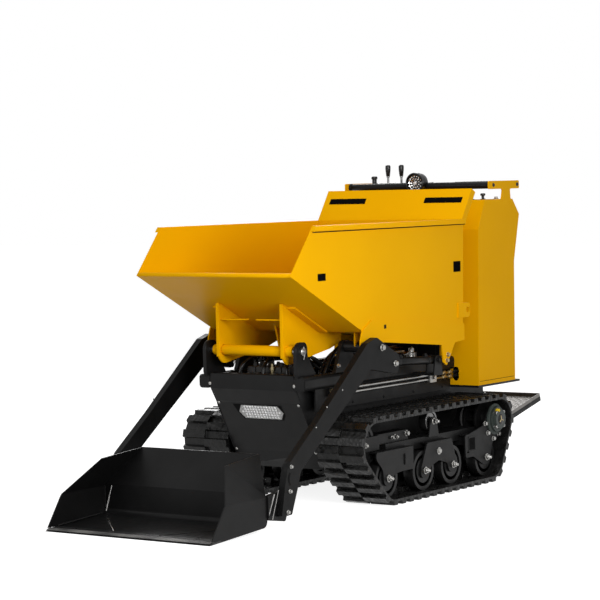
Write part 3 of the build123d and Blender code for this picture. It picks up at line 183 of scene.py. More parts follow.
def moulded_lens():
    """Lamp lens with moulded cells, painted pale: painted light of the bright reflector behind it."""
    g = Graph("lamp_lens")
    # painted light: the pale cells stand in for the reflector's brightness
    g.colours(g.cells(210), (0.15, (0.8, 0.8, 0.79)), (0.5, (0.34, 0.34, 0.335)))
    g.rough(g.noise(90), 0.08, 0.16)
    g.bumps((g.cells(210), 0.5, 0.001))
    put(g.shader, Specular_IOR_Level=0.5)


yellow_paint()
rubber()
edge_wear_and_highlight()
moulded_lens()
black_paint("black_paint", 0.0062, 0.32, 500, 0.1)
black_paint("frame_paint", 0.0062, 0.36, 420, 0.13)
black_paint("roller_steel", 0.006, 0.36, 300, 0.2)
black_paint("edge_steel", 0.011, 0.26, 260, 0.3)
# painted shade: a darker copy of black_paint for the loader arms, which share its slot
black_paint("arm_paint_shaded", 0.0046, 0.36, 500, 0.08)
cast_paint("cast_hub", (0.036, 0.046, 0.041))
cast_paint("engine_metal", (0.03, 0.03, 0.03))
cast_paint("plug_yellow", (0.8, 0.56, 0.02))
plastic("lamp_body", 0.006, 0.25, 0.2)
plastic("black_plastic", 0.005, 0.2, 0.25)
plastic("led_dot", 0.8, 0.12, 0.5)
plastic("decal", 0.004, 0.6, 0.0)
plastic("shadow_seam", 0.012, 0.7, 0.0)
plain_metal("zinc_steel", (0.4, 0.395, 0.38), 0.26)
plain_metal("chrome_rod", (0.55, 0.55, 0.56), 0.08, 30, (1, 30, 30), 0.02)
plain_metal("tread_plate", (0.185, 0.175, 0.165), 0.3, 45)
plain_metal("brass_zinc", (0.4, 0.33, 0.19), 0.26)
# painted glints: pale bare metal on weld beads of the black bucket
plain_metal("glint_bead", (0.46, 0.45, 0.44), 0.2)
plain_metal("satin_steel", (0.17, 0.17, 0.17), 0.22)
plain_metal("lamp_mirror", (0.86, 0.85, 0.83), 0.05, 20, None, 0.02)
# finishes of small added pieces that share the slot of a neighbour; the others have their own
SHARED_SLOTS = {
    "brass_zinc": "zinc_steel", "lamp_mirror": "zinc_steel", "arm_paint_shaded": "black_paint", "edge_wear_and_highlight": "edge_steel",
    "glint_bead": "edge_steel", "satin_steel": "chrome_rod", "plug_yellow": "cast_hub", "led_dot": "lamp_lens",
    "decal": "black_plastic", "shadow_seam": "black_plastic",
}

# edge widths in metres, by how a node's name starts
BEVELS = {"track_belt": 0.0012, "hopper": 0.0011, "loader_arm": 0.0022, "bucket": 0.0012}
PLAIN_BEVEL = 0.0009
BEVEL_ANGLE = 34  # degrees; edges that turn less stay as they are
WELD_REACH = 0.00002  # metres
SLOT_OF = {part["node"]: part["material_slot"] for part in frame["record"]["subparts"]}


def dress(obj, finish, bevel=0.0, segments=2):
    """Material and softened edges of a piece; returns its slot."""
    obj.data.materials.clear()
    obj.data.materials.append(MATERIALS[finish])
    if bevel:
        weld = obj.modifiers.new("weld", "WELD")
        weld.merge_threshold = WELD_REACH
        edge = obj.modifiers.new("edges", "BEVEL")
        edge.width = bevel
        edge.segments = segments
        edge.limit_method = "ANGLE"
        edge.angle_limit = math.radians(BEVEL_ANGLE)
        edge.harden_normals = True
        edge.use_clamp_overlap = True
    return SHARED_SLOTS.get(finish, finish)


for node, obj in NODES.items():
    width = next((w for key, w in BEVELS.items() if node.startswith(key)), PLAIN_BEVEL)
    # loader arms take the darker copy of black_paint, a painted shade
    dress(obj, "arm_paint_shaded" if node.startswith("loader_arm") else SLOT_OF[node], width)


# ---- shapes of added pieces

SIDES = {1: "left", -1: "right"}  # of the machine


def axes(x, y, z):
    """Turn that takes the local axes to these three."""
    return Matrix((x, y, z)).transposed().to_4x4()


def spot(x, y, z, normal=(0, 0, 1)):
    """Local frame at a point, its Z along the normal."""
    up = Vector(normal).normalized()
    side = Vector((1, 0, 0)) if abs(up.x) < 0.9 else Vector((0, 1, 0))
    across = (side - up * side.dot(up)).normalized()
    return Matrix.Translation((x, y, z)) @ axes(across, up.cross(across), up)


def upright(x, y, z, side):
    """Local frame on a wall of the machine's left (1) or right (-1): X forward, Y up, Z outward."""
    return Matrix.Translation((x, side * y, z)) @ axes((1, 0, 0), (0, 0, 1), (0, side, 0))


def shift(place, x=0.0, y=0.0, z=0.0):
    """A local frame moved along its own axes."""
    return place @ Matrix.Translation((x, y, z))


def turned(place, degrees, axis="Z"):
    """A local frame turned about one of its own axes."""
    return place @ Matrix.Rotation(math.radians(degrees), 4, axis)


def polar(radius, degrees):
    angle = math.radians(degrees)
    return radius * math.cos(angle), radius * math.sin(angle)


def circle(radius, height, sides):
    return [(*polar(radius, 360 * i / sides), height) for i in range(sides)]


def rounded(wide, tall, radius, steps=4):
    """Corners of a rectangle with rounded corners about the origin."""
    points = []
    for k, (sx, sy) in enumerate(((1, 1), (-1, 1), (-1, -1), (1, -1))):
        for i in range(steps + 1):
            dx, dy = polar(radius, 90 * k + 90 * i / steps)
            points.append((sx * (wide / 2 - radius) + dx, sy * (tall / 2 - radius) + dy))
    return points


def smooth_line(points, steps=6):
    """Rounded line through points (Catmull-Rom)."""
    points = [Vector(p) for p in points]
    line = []
    for i in range(len(points) - 1):
        a, b, c, d = (points[max(0, min(len(points) - 1, i + k))] for k in (-1, 0, 1, 2))
        for step in range(steps):
            t = step / steps
            line.append(0.5 * (2 * b + (c - a) * t + (2 * a - 5 * b + 4 * c - d) * t * t
                               + (3 * b - a - 3 * c + d) * t ** 3))
    return line + [points[-1]]


class Piece:
    """A mesh gathered in millimetres and finished as one object that rides on a body."""

    def __init__(self, side=0):
        self.mesh = bmesh.new()
        self.suffix = f"_{SIDES[side]}" if side else ""

    def ring(self, place, points):
        return [self.mesh.verts.new(place @ Vector(p)) for p in points]

    def bridge(self, low, high):
        count = len(low)
        for i in range(count):
            j = (i + 1) % count
            self.mesh.faces.new((low[i], low[j], high[j], high[i]))

    def loop(self, rings):
        """Skin over rings whose last joins the first, as on a bezel."""
        for low, high in zip(rings, rings[1:] + rings[:1]):
            self.bridge(low, high)
        return self

    def stack(self, rings):
        """Skin over rings with both ends closed."""
        for low, high in zip(rings, rings[1:]):
            self.bridge(low, high)
        self.mesh.faces.new(reversed(rings[0]))
        self.mesh.faces.new(rings[-1])
        return self

    def cap(self, place, low, high):
        """Stud that is open below: from one outline up to a smaller one."""
        top = self.ring(place, high)
        self.bridge(self.ring(place, low), top)
        self.mesh.faces.new(top)

    def lathe(self, place, profile, sides=24):
        """Solid turned about local Z from (radius, height) pairs."""
        return self.stack([self.ring(place, circle(radius, height, sides)) for radius, height in profile])

    def prism(self, place, corners, low, high):
        """Flat shape of (x, y) corners between two heights along local Z."""
        return self.stack([self.ring(place, [(x, y, height) for x, y in corners]) for height in (low, high)])

    def box(self, place, size):
        x, y, z = (s / 2 for s in size)
        return self.prism(place, ((-x, -y), (x, -y), (x, y), (-x, y)), -z, z)

    def tube(self, points, radius, sides=12, ripple=0.0):
        """Round bar along points; a rippled one is a weld bead."""
        rings = []
        points = [Vector(p) for p in points]
        across = None
        for i, point in enumerate(points):
            ahead = (points[min(i + 1, len(points) - 1)] - points[max(i - 1, 0)]).normalized()
            if across is None:
                across = ahead.orthogonal().normalized()
            across = (across - ahead * across.dot(ahead)).normalized()
            place = Matrix.Translation(point) @ axes(across, ahead.cross(across), ahead)
            rings.append(self.ring(place, circle(radius * (1 + ripple * (i % 2)), 0, sides)))
        return self.stack(rings)

    def weld(self, start, end, radius):
        """Rippled bead along a straight joint."""
        start, end = Vector(start), Vector(end)
        count = max(4, int((end - start).length / (radius * 0.55)))
        return self.tube([start.lerp(end, i / count) for i in range(count + 1)], radius, 8, 0.22)

    def bolt(self, place, across, head=0.62, washer=2.0):
        """Hexagon head on a washer; across is the head's width over its flats, head its height in widths."""
        corner = across / math.sqrt(3)
        top = washer + across * head
        self.lathe(place, ((across * 0.7, 0), (across * 0.71, washer * 0.7), (across * 0.67, washer)), 24)
        return self.lathe(place, (
            (corner, washer), (corner, top - across * 0.12), (corner * 0.87, top), (corner * 0.3, top),
        ), 6)

    def button(self, place, radius):
        """Round-headed screw with a hexagon socket."""
        tall = radius * 0.62
        return self.lathe(place, (
            (radius * 1.08, 0), (radius * 1.08, 1.0), (radius, 1.1), (radius * 0.96, tall * 0.55),
            (radius * 0.8, tall * 0.86), (radius * 0.5, tall), (radius * 0.42, tall), (radius * 0.36, tall * 0.4),
        ), 18)

    def stud(self, place, across, reach, rod):
        """Nut on a washer with the threaded end of its rod standing out to reach."""
        washer, head, pitch = 2.5, 0.72, 2.2
        self.bolt(place, across, head, washer)
        start = washer + across * head
        turns = max(3, int((reach - start) / pitch))
        thread = []
        for i in range(turns):
            height = start + (reach - start) * i / turns
            thread += [(rod * 0.92, height), (rod, height + 1.0)]
        return self.lathe(place, thread + [(rod, reach - 1.5), (rod * 0.8, reach)], 18)

    def done(self, name, finish, body="root", bevel=0.0, smooth=32, segments=2):
        name += self.suffix
        mesh = bpy.data.meshes.new(name)
        bmesh.ops.recalc_face_normals(self.mesh, faces=self.mesh.faces)
        bmesh.ops.scale(self.mesh, vec=(MM, MM, MM), verts=self.mesh.verts)
        self.mesh.to_mesh(mesh)
        self.mesh.free()
        mesh.shade_smooth()
        mesh.set_sharp_from_angle(angle=math.radians(smooth))
        obj = bpy.data.objects.new(name, mesh)
        SCENE.collection.objects.link(obj)
        dress(obj, finish, bevel * MM, segments)
        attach(obj, body)
        return obj


# ---- places, as in the part (mm)
# points in the side view are (x, z)

HOPPER_Y = 370
RIM_FRONT = (579.5, 1122)
RIM_REAR = (-534.5, 1119)
LIP = (738.5, 936)
FLOOR_REAR = (-516.5, 612)
FLOOR_FRONT = (245.5, 694)
GUARD_TOP = (-621.5, 1244)
HOPPER_PIVOT = (468.5, 630)
PIN_END_Y = 236
BRACKET_Y = 155
SKIRT_Y = 376
ARM_Y = 420
ARM_PIVOT = (190.5, 631)
CRANK_PIN = (95.5, 561)
LIFT_BASE = (-330, 541)
LIFT_Y = 338
LIFT_SIZES = (17, 300, 9)  # barrel radius, its length from the base pin, rod radius
TIP_BASE = (-60, 260)
TIP_EYE = (230.4, 599.9)
TIP_SIZES = (30, 398, 16)
HANGER_Y = 404
HANGER_TOP = 212
ROLLER_X = (139, -139, -359, -634)
ROLLER_Z = 105
ROLLER_RADIUS = 81
ROLLER_FACE_Y = 395
IDLER = (266, 248)
TENSIONER_Y = 371
TENSIONER_TUBE_Y = 356
SPROCKET = (-706, 260)
CARRIER = (-225, 298)
CARRIER_Y = 384
NOSE_MID = (454.5, 422)
NOSE_BEND = (338.5, 217)
LAMP_Z = 382
LAMP_HALF = (109, 33)  # half width and half height of the front lamp
RAIL_Y = 230
RAIL_TOP = 532
DECK_Z = 477
BEAM_FRONT_X = 493.5
PIPE_Y = 252
PIPE_Z = (465, 447)
CABINET_Y = 370
CABINET_FRONT_X = -638
CABINET_TOP_Z = 1196
CABINET_WAIST = (-961.5, 925)
CABINET_REAR_X = -953.5
CABINET_BOTTOM_Z = 407
BAR_Z = 1258
BAR_X = (-792.5, -998.5)
LAMP_FACE = (-755.5, 1273)
LAMP_RADIUS = 42
LEVER_X = -880
LEVERS = ((-293, 1306, 28), (-220, 1355, 48), (-150, 1355, 48))  # y, top, length of the knob
BUCKET_Y = 388
BUCKET_BRACKET_Y = 392.4
HEEL = (946.5, 20)
BACK_BEND = (947.5, 138)
STEP_HINGE = (-1012, 232)
STEP_REAR = (-1301.5, 297)
STEP_HALF_WIDTH = 300


def between(start, end, share):
    return start[0] + (end[0] - start[0]) * share, start[1] + (end[1] - start[1]) * share


def incline(start, end):
    """Direction from one point of the side view to another."""
    return Vector((end[0] - start[0], 0, end[1] - start[1])).normalized()


def floor_z(x):
    """Underside of the hopper's floor and ramp."""
    low, high = (FLOOR_REAR, FLOOR_FRONT) if x < FLOOR_FRONT[0] else (FLOOR_FRONT, LIP)
    return between(low, high, (x - low[0]) / (high[0] - low[0]))[1]


# ---- tracks

# axle ends: x, y, z and turns of thread that show
AXLES = (*((x, HANGER_Y, ROLLER_Z, 14) for x in ROLLER_X), (IDLER[0], TENSIONER_Y, IDLER[1], 12))
BOGIE_PIN = ((ROLLER_X[1] + ROLLER_X[2]) / 2, ROLLER_Z + 68)
TENSIONER_BOLTS = ((30, 257, 13, 0.5), (-76, 262, 17, 0.6))  # x, z, width over flats, head
FLANGE_BOLTS = ((80, -12), (60, -54), (14, -82), (-30, -66))  # from the sprocket's centre
MOTOR_COVER = (68, 68, 19)  # width, height and size of its cut corners
MOTOR_BOLT_RADIUS = 41
VENT_PLUG = (13, 39)  # from the sprocket's centre
# flanges on top of the hangers: front and rear ends
HANGER_SPANS = ((ROLLER_X[0] + 82, ROLLER_X[0] - 188), (-161, -349), (ROLLER_X[3] + 170, -536))
WINDOW = (ROLLER_X[3] + 119, 174)
WINDOW_EDGES = ((27, 0, 6, 62), (-27, 0, 6, 62), (0, 30, 60, 6), (0, -30, 60, 6))  # x, z, size
THREAD_SLOT = (16.5, 169)
# painted shade in the openings: x, y, z, width, height, corner radius, thickness
OPENING_SHADES = (
    (THREAD_SLOT[0], HANGER_Y, THREAD_SLOT[1], 15, 46, 6, 0.4),
    (ROLLER_X[3] + 150, HANGER_Y, 141, 16, 6, 6, 0.4),
    (WINDOW[0], HANGER_Y, WINDOW[1], 44, 50, 5, 0.5),
    (22, TENSIONER_TUBE_Y, 257, 76, 12, 5, 0.5),
)


def track_fasteners(side):
    """Axle nuts, rod ends and bolts on the outside of one track."""
    nuts, rods = Piece(side), Piece(side)
    for x, y, z, turns in AXLES:
        place = upright(x, y, z, side)
        nuts.lathe(place, ((14, 0), (14, 2), (13, 3)), 32)
        nuts.bolt(shift(place, z=3), 21, 0.45, 1.5)
        thread = [(6.4 if i % 2 else 5.8, 8 + i * 1.1) for i in range(turns)]
        rods.lathe(place, thread + [(5.4, turns + 10)], 28)
    nuts.stud(upright(CARRIER[0], HANGER_Y - 8, CARRIER[1], side), 19, 26, 6)
    x, z = BOGIE_PIN
    nuts.lathe(upright(x, HANGER_Y, z, side), ((15, 0), (15, 2), (14, 2.6)), 32)
    nuts.bolt(upright(x, HANGER_Y + 2, z, side), 18, 0.35, 1.2)
    nuts.stud(upright(12, TENSIONER_TUBE_Y, 257, side), 15, 19, 5)
    for x, z, across, head in TENSIONER_BOLTS:
        nuts.bolt(upright(x, TENSIONER_TUBE_Y, z, side), across, head)
    for dx, dz in FLANGE_BOLTS:
        nuts.bolt(upright(SPROCKET[0] + dx, HANGER_Y, SPROCKET[1] + dz, side), 15, 0.6)
    nuts.done("track_nuts", "zinc_steel", smooth=24)
    rods.done("track_rod_ends", "zinc_steel", smooth=24)


def motor_details(side):
    """Ring, cover, bolts, drive end and vent plug of one track motor."""
    hub = upright(SPROCKET[0], HANGER_Y, SPROCKET[1], side)
    ring = Piece(side).lathe(hub, (
        (46, 18.5), (51.5, 18.8), (53.2, 17), (53.2, 8), (57, 5.2), (64, 5.2), (64, 5), (46, 5),
    ), 48)
    ring.done("motor_ring", "cast_hub", smooth=30)
    cover = Piece(side).prism(hub, rounded(*MOTOR_COVER, 1), 19, 30).lathe(hub, ((24, 30), (24, 33), (21, 34.4)), 32)
    cover.done("motor_cover", "lamp_body", bevel=1.5)
    bolts = Piece(side)
    for angle in (45, 135, 225, 315):
        bolts.lathe(shift(hub, *polar(MOTOR_BOLT_RADIUS, angle), 17), (
            (8.6, 0), (8.6, 1.6), (7.4, 2), (7.4, 14), (6.6, 15.4), (3, 15.4), (2.8, 10)), 20)
    bolts.done("motor_bolts", "zinc_steel", smooth=24)
    end = Piece(side)
    for angle in (80, 200, 320):
        end.tube([hub @ Vector((*polar(reach, angle), 35.2)) for reach in (0, 9, 17)], 2.2, 8)
    end.done("motor_end", "brass_zinc")
    plug = Piece(side).lathe(shift(hub, *VENT_PLUG, 24), ((7.6, -8), (7.6, 8), (6.4, 10), (3, 10.4)), 8)
    plug.done("motor_plug", "plug_yellow", bevel=0.6)


def hanger_details(side):
    """Flanges, painted shade in the openings, and the thread of the roller hangers."""
    flanges = Piece(side)
    for front, rear in HANGER_SPANS:
        flanges.box(upright((front + rear) / 2, HANGER_Y - 16, HANGER_TOP + 1.5, side), (front - rear, 5, 34))
    for dx, dz, wide, tall in WINDOW_EDGES:
        flanges.box(upright(WINDOW[0] + dx, HANGER_Y, WINDOW[1] + dz, side), (wide, tall, 3))
    flanges.done("hanger_flanges", "frame_paint", bevel=1.2)
    # painted shade: dark sheets in the openings stand for the shade inside them
    dark = Piece(side)
    for x, y, z, wide, tall, radius, thick in OPENING_SHADES:
        dark.prism(upright(x, y, z, side), rounded(wide, tall, radius), 0.1, 0.1 + thick)
    dark.done("hanger_slot_shade", "shadow_seam")
    thread = Piece(side)
    for i in range(9):
        turn = turned(upright(THREAD_SLOT[0], HANGER_Y, 150 + i * 4.6, side), 90, "X")
        thread.lathe(turn, ((4.6, -1.2), (5.6, 0), (4.6, 1.2)), 14)
    thread.done("hanger_thread", "frame_paint")


def roller_faces(side):
    """Rims, faces and hubs on the outer sides of the rollers, and the carrier roller's ring."""
    faces, rims = Piece(side), Piece(side)
    edge = ROLLER_RADIUS - 4
    for x in ROLLER_X:
        faces.lathe(upright(x, ROLLER_FACE_Y - 4, ROLLER_Z, side), (
            (edge, -4), (edge, 1.2), (edge - 5, 1.6), (edge - 12, 0), (40, -1.4), (30, -1.4), (27, 1.5), (16, 2.2),
        ), 64)
        rims.lathe(upright(x, ROLLER_FACE_Y, ROLLER_Z, side), (
            (edge, -4), (edge + 1.4, 0.1), (edge + 3, -0.6), (edge + 3.4, -4)), 64)
    faces.done("roller_faces", "roller_steel", bevel=1.0)
    rims.done("roller_rims", "roller_steel")
    ring = Piece(side).lathe(upright(CARRIER[0], CARRIER_Y, CARRIER[1], side), (
        (34, -3), (34, 0.8), (42, 0.8), (43.4, -0.6), (43.6, -4)), 48)
    ring.done("carrier_ring", "satin_steel")


for side in SIDES:
    track_fasteners(side)
    motor_details(side)
    hanger_details(side)
    roller_faces(side)


# ---- nose and front lamp

NOSE_SCREWS = (417, 219)  # z
LAMP_RECESS_SHADE = ((109, 36), (-127, 36), (-116, 0), (-94, -35), (98, -35), (113, -12))
DIODE_ROWS = 5
DIODE_PITCH = (13.6, 12)


def nose_place(z, y):
    """Local frame on the nose plate's long slope: X to the machine's left, Y up the slope, Z outward."""
    slope = incline(NOSE_BEND, NOSE_MID)
    out = Vector((slope.z, 0, -slope.x))
    x, _ = between(NOSE_BEND, NOSE_MID, (z - NOSE_BEND[1]) / (NOSE_MID[1] - NOSE_BEND[1]))
    return Matrix.Translation((x, y, z)) @ axes(slope.cross(out), slope, out)


def nose_details():
    """Screws and folded edges of the nose plate."""
    screws, edge = Piece(), Piece()
    for side in SIDES:
        for z in NOSE_SCREWS:
            screws.button(nose_place(z, side * 194), 5.6)
        screws.button(spot(BEAM_FRONT_X, side * 205, 496, (1, 0, 0)), 6.6)
        edge.box(nose_place(318, side * 204), (3, 224, 5))
    screws.done("nose_screws", "zinc_steel", smooth=40)
    edge.done("nose_edges", "frame_paint", bevel=1)


def lamp_shape(grow):
    """Hexagon of the front lamp, grown by some millimetres."""
    wide, tall = LAMP_HALF[0] + grow, LAMP_HALF[1] + grow
    waist = wide - tall * 0.62
    return [(wide, 0), (waist, tall), (-waist, tall), (-wide, 0), (-waist, -tall), (waist, -tall)]


def front_lamp():
    """Lamp sunk in the nose plate: painted shade of its recess, housing, mirror tray, moulded lens painted pale as
    lit, and rows of diodes.
    """
    place = nose_place(LAMP_Z, 0)
    Piece().prism(place, lamp_shape(-1), -14, -9).done("front_lamp_tray", "lamp_mirror", bevel=0.8)
    # painted shade: a dark sheet round the lens stands for the shade in the recess
    Piece().prism(place, LAMP_RECESS_SHADE, 0.15, 0.5).done("front_lamp_recess_shade", "shadow_seam")
    rim = Piece()
    rim.loop([rim.ring(place, [(x, y, height) for x, y in lamp_shape(grow)])
              for grow, height in ((1, -20), (1, 1.6), (-0.6, 1.6), (-0.6, -14))])
    rim.done("front_lamp_housing", "lamp_body", bevel=0.8)
    lens = Piece().prism(place, lamp_shape(-0.8), -2.5, 0.6).done("front_lamp_lens", "lamp_lens", bevel=1.0)
    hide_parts("front_lamp")
    diodes = Piece()
    for row in range(DIODE_ROWS):
        off = row - (DIODE_ROWS - 1) // 2
        count = 14 - abs(off) - row % 2
        for i in range(count):
            at = shift(place, (i - (count - 1) / 2) * DIODE_PITCH[0], off * DIODE_PITCH[1], 0.4)
            diodes.lathe(at, ((5.4, 0), (4.8, 1.0), (2.2, 1.8), (1.4, 1.0)), 6)
    diodes.done("front_lamp_diodes", "led_dot", smooth=20)


nose_details()
front_lamp()


# ---- hopper

STRIPE = (186, 28)
STRIPE_Y = 243
GUARD_SKIN = 4.4  # of the guard's front face beyond the line through its corners
SQUARES = ((530, 924, 54, 28), (-476, 922, 58, 44))  # x, z, width, height
HOOK = ((214, 694), (214, 640), (208, 620), (196, 612), (182, 612), (172, 620), (168, 640), (150, 668), (150, 690))
FLANGE_X = (HOPPER_PIVOT[0] + 26, HOPPER_PIVOT[0] + 34)
SKIRT_BOLTS = ((-379, 560), (-371, 536))
TIE_BAR = (478, 88, 753)
RIB_Y = (-110, 0, 110)
RIB_DEPTH = 22


def hopper_marks():
    """Bare dark stripes on the guard and squares on the sides."""
    lean = incline(RIM_REAR, GUARD_TOP)
    turn = axes((0, 1, 0), lean, (lean.z, 0, -lean.x))
    x, z = between(RIM_REAR, GUARD_TOP, 0.62)
    stripes, squares = Piece(), Piece()
    for side in SIDES:
        place = shift(Matrix.Translation((x, side * STRIPE_Y, z)) @ turn, z=GUARD_SKIN + 0.3)
        stripes.box(place, (*STRIPE, 0.6))
        for px, pz, wide, tall in SQUARES:
            squares.prism(upright(px, HOPPER_Y, pz, side), rounded(wide, tall, 1), 0.2, 0.7)
    stripes.done("guard_stripes", "decal", "hopper")
    squares.done("hopper_squares", "decal", "hopper")


def hopper_seams(side):
    """Painted shadow under the rim's hem, and beads along the floor, the ramp, the rear wall and both faces of the
    hinge bracket.
    """
    front, rear = RIM_FRONT[0] + 12, RIM_REAR[0] - 18
    # painted shadow: a dark strip on the side just below the hem
    place = upright((front + rear) / 2, HOPPER_Y + 0.6, RIM_REAR[1] - 22, side)
    Piece(side).box(place, (front - rear - 12, 3.6, 1.6)).done("rim_hem_shadow", "shadow_seam", "hopper")
    beads = Piece(side)
    y = side * (HOPPER_Y - 5)
    foot = FLOOR_REAR[0] + 8
    bend = (FLOOR_FRONT[0], y, FLOOR_FRONT[1] + 5)
    beads.weld((foot, y, FLOOR_REAR[1] + 5), bend, 3)
    beads.weld(bend, (LIP[0] - 14, y, LIP[1] - 2), 3)
    beads.weld((foot, y, FLOOR_REAR[1] + 8), (RIM_REAR[0] + 8, y, RIM_REAR[1] - 6), 3)
    for off in (-5, 5):
        y = side * BRACKET_Y + off
        bend = (FLOOR_FRONT[0], y, FLOOR_FRONT[1] - 1)
        beads.weld((110, y, floor_z(110) - 1), bend, 2.6)
        beads.weld(bend, (492, y, floor_z(492) - 1), 2.6)
    beads.done("hopper_welds", "yellow_paint", "hopper")


def hopper_trim(side):
    """Inner hook, hinge flange, painted shade of the skirt's hole, and the skirt's bolts."""
    hook = Piece(side).prism(upright(0, 302, 0, side), HOOK, 0, 7)
    hook.done("inner_hook", "yellow_paint", "hopper", bevel=1.6)
    near, far = FLANGE_X
    outline = ((near, 604), (far, 604), (far, floor_z(far) - 2), (near, floor_z(near) - 2))
    flange = Piece(side).prism(upright(0, BRACKET_Y - 7, 0, side), outline, 0, 14)
    flange.done("hinge_flange", "yellow_paint", "hopper", bevel=1.4)
    # painted shade: a dark square for the hole in the skirt
    hole = Piece(side).box(upright(97.5, SKIRT_Y, 707, side), (16, 16, 0.8))
    hole.done("skirt_hole_shade", "shadow_seam", "hopper")
    bolts = Piece(side)
    for x, z in SKIRT_BOLTS:
        bolts.bolt(upright(x, SKIRT_Y, z, side), 14, 0.55)
    bolts.done("skirt_bolts", "brass_zinc", "hopper", smooth=24)


def hopper_underside():
    """Tie bars behind the hinge brackets and ribs under the floor."""
    bars, ribs = Piece(), Piece()
    x, y, z = TIE_BAR
    for side in SIDES:
        bars.box(spot(x, side * y, z), (20, 128, 5))
    bars.done("hinge_tie_bar", "yellow_paint", "hopper", bevel=1)
    outline = [(x, floor_z(x) - drop) for x, drop in ((-500, 1), (-80, 1), (-80, RIB_DEPTH), (-480, RIB_DEPTH))]
    for y in RIB_Y:
        ribs.prism(upright(0, y - 3, 0, 1), outline, 0, 6)
    ribs.done("floor_ribs", "yellow_paint", "hopper", bevel=1)


hopper_marks()
for side in SIDES:
    hopper_seams(side)
    hopper_trim(side)
hopper_underside()


# ---- loader

# x, z and width over flats of the arms' bolts: at the pivots with taller washers, and at the bucket
PIVOT_BOLTS = ((*ARM_PIVOT, 19), (*CRANK_PIN, 17))
BUCKET_BOLTS = ((833, 233, 11), (843, 142, 12), (859, 66, 12))
ARM_SCREWS = ((478, 489), (587, 433), (662, 363))
SLOT_CENTRE = (794, 188)
SLOT_SWEEP = 34  # degrees to either side
ARM_WELD = ((546, 366), (762, 214))
# beads, pale metal where they paint glints: start, end (x, y, z) and radius
FLOOR_BEADS = (((1000, 335, 22.4), (1100, 240, 16.8), 2.6), ((1100, 240, 16.8), (1230, 112, 9.8), 2.0))
GLINT_BEADS = (
    ((952, 379, 26), (951, 346, 134), 3.2),
    ((877, BUCKET_BRACKET_Y, 150), (920, BUCKET_BRACKET_Y, 44), 1.6),
    ((905, BUCKET_BRACKET_Y, 137), (944, BUCKET_BRACKET_Y, 62), 2.6),
)


def arm_details(side):
    """Bolts, screws, painted shade of the curved slot, and a weld of one loader arm."""
    bolts = Piece(side)
    for x, z, across in PIVOT_BOLTS:
        bolts.bolt(upright(x, ARM_Y, z, side), across, 0.5, 2.4)
    for x, z, across in BUCKET_BOLTS:
        bolts.bolt(upright(x, ARM_Y, z, side), across, 0.55)
    for x, z in ARM_SCREWS:
        bolts.button(upright(x, ARM_Y, z, side), 3.1)
    bolts.done("arm_bolts", "zinc_steel", "loader", smooth=24)
    # painted shade: a thin dark sheet in the outline of the curved slot
    outline = []
    for wide, tall, way in ((60, 44, 1), (50, 38, -1)):
        for k in range(-4, 5):
            dx, dz = polar(1, way * SLOT_SWEEP * k / 4)
            outline.append((SLOT_CENTRE[0] + wide * dx, SLOT_CENTRE[1] + tall * dz))
    slot = Piece(side).prism(upright(0, ARM_Y, 0, side), outline, 0.1, 0.6)
    slot.done("arm_slot_shade", "shadow_seam", "loader")
    start, end = ((x, side * (ARM_Y - 3), z) for x, z in ARM_WELD)
    Piece(side).weld(start, end, 2.4).done("arm_weld", "arm_paint_shaded", "loader")


def cylinder_details(name, base, eye, y, sizes, barrel_body, rod_body):
    """Gland, ports, dust seal and lock nut of a cylinder."""
    radius, length, rod = sizes
    base, eye = Vector((base[0], y, base[1])), Vector((eye[0], y, eye[1]))
    line = spot(*base, eye - base)
    reach = (eye - base).length
    gland = Piece().lathe(shift(line, z=length - 26), (
        (radius, 0), (radius + 3, 1.5), (radius + 3, 24), (radius + 1.5, 26), (rod + 6, 27.5), (rod + 1.2, 28)), 32)
    gland.lathe(shift(line, z=radius + 34), ((radius, 0), (radius + 1.6, 1), (radius + 1.6, 9), (radius, 10)), 32)
    up = Vector((base.z - eye.z, 0, eye.x - base.x)).normalized()
    for along in (radius + 52, length - 40):
        port = spot(*(line @ Vector((0, 0, along)) + up * (radius - 3)), up)
        gland.lathe(port, ((10, 0), (10, 9), (7.5, 9.5), (7.5, 14)), 18)
    gland.done(f"{name}_gland", "black_paint", barrel_body, smooth=30)
    seal = Piece().lathe(shift(line, z=length + 1.6), ((rod + 4.5, 0), (rod + 4, 2), (rod + 0.6, 2.6)), 28)
    seal.done(f"{name}_seal", "black_plastic", barrel_body)
    outline = ((rod * 1.55, 0), (rod * 1.6, 2), (rod * 1.6, 11), (rod * 1.5, 13))
    nut = Piece().lathe(shift(line, z=reach - rod - 27), outline, 6)
    nut.done(f"{name}_lock_nut", "zinc_steel", rod_body, smooth=24)


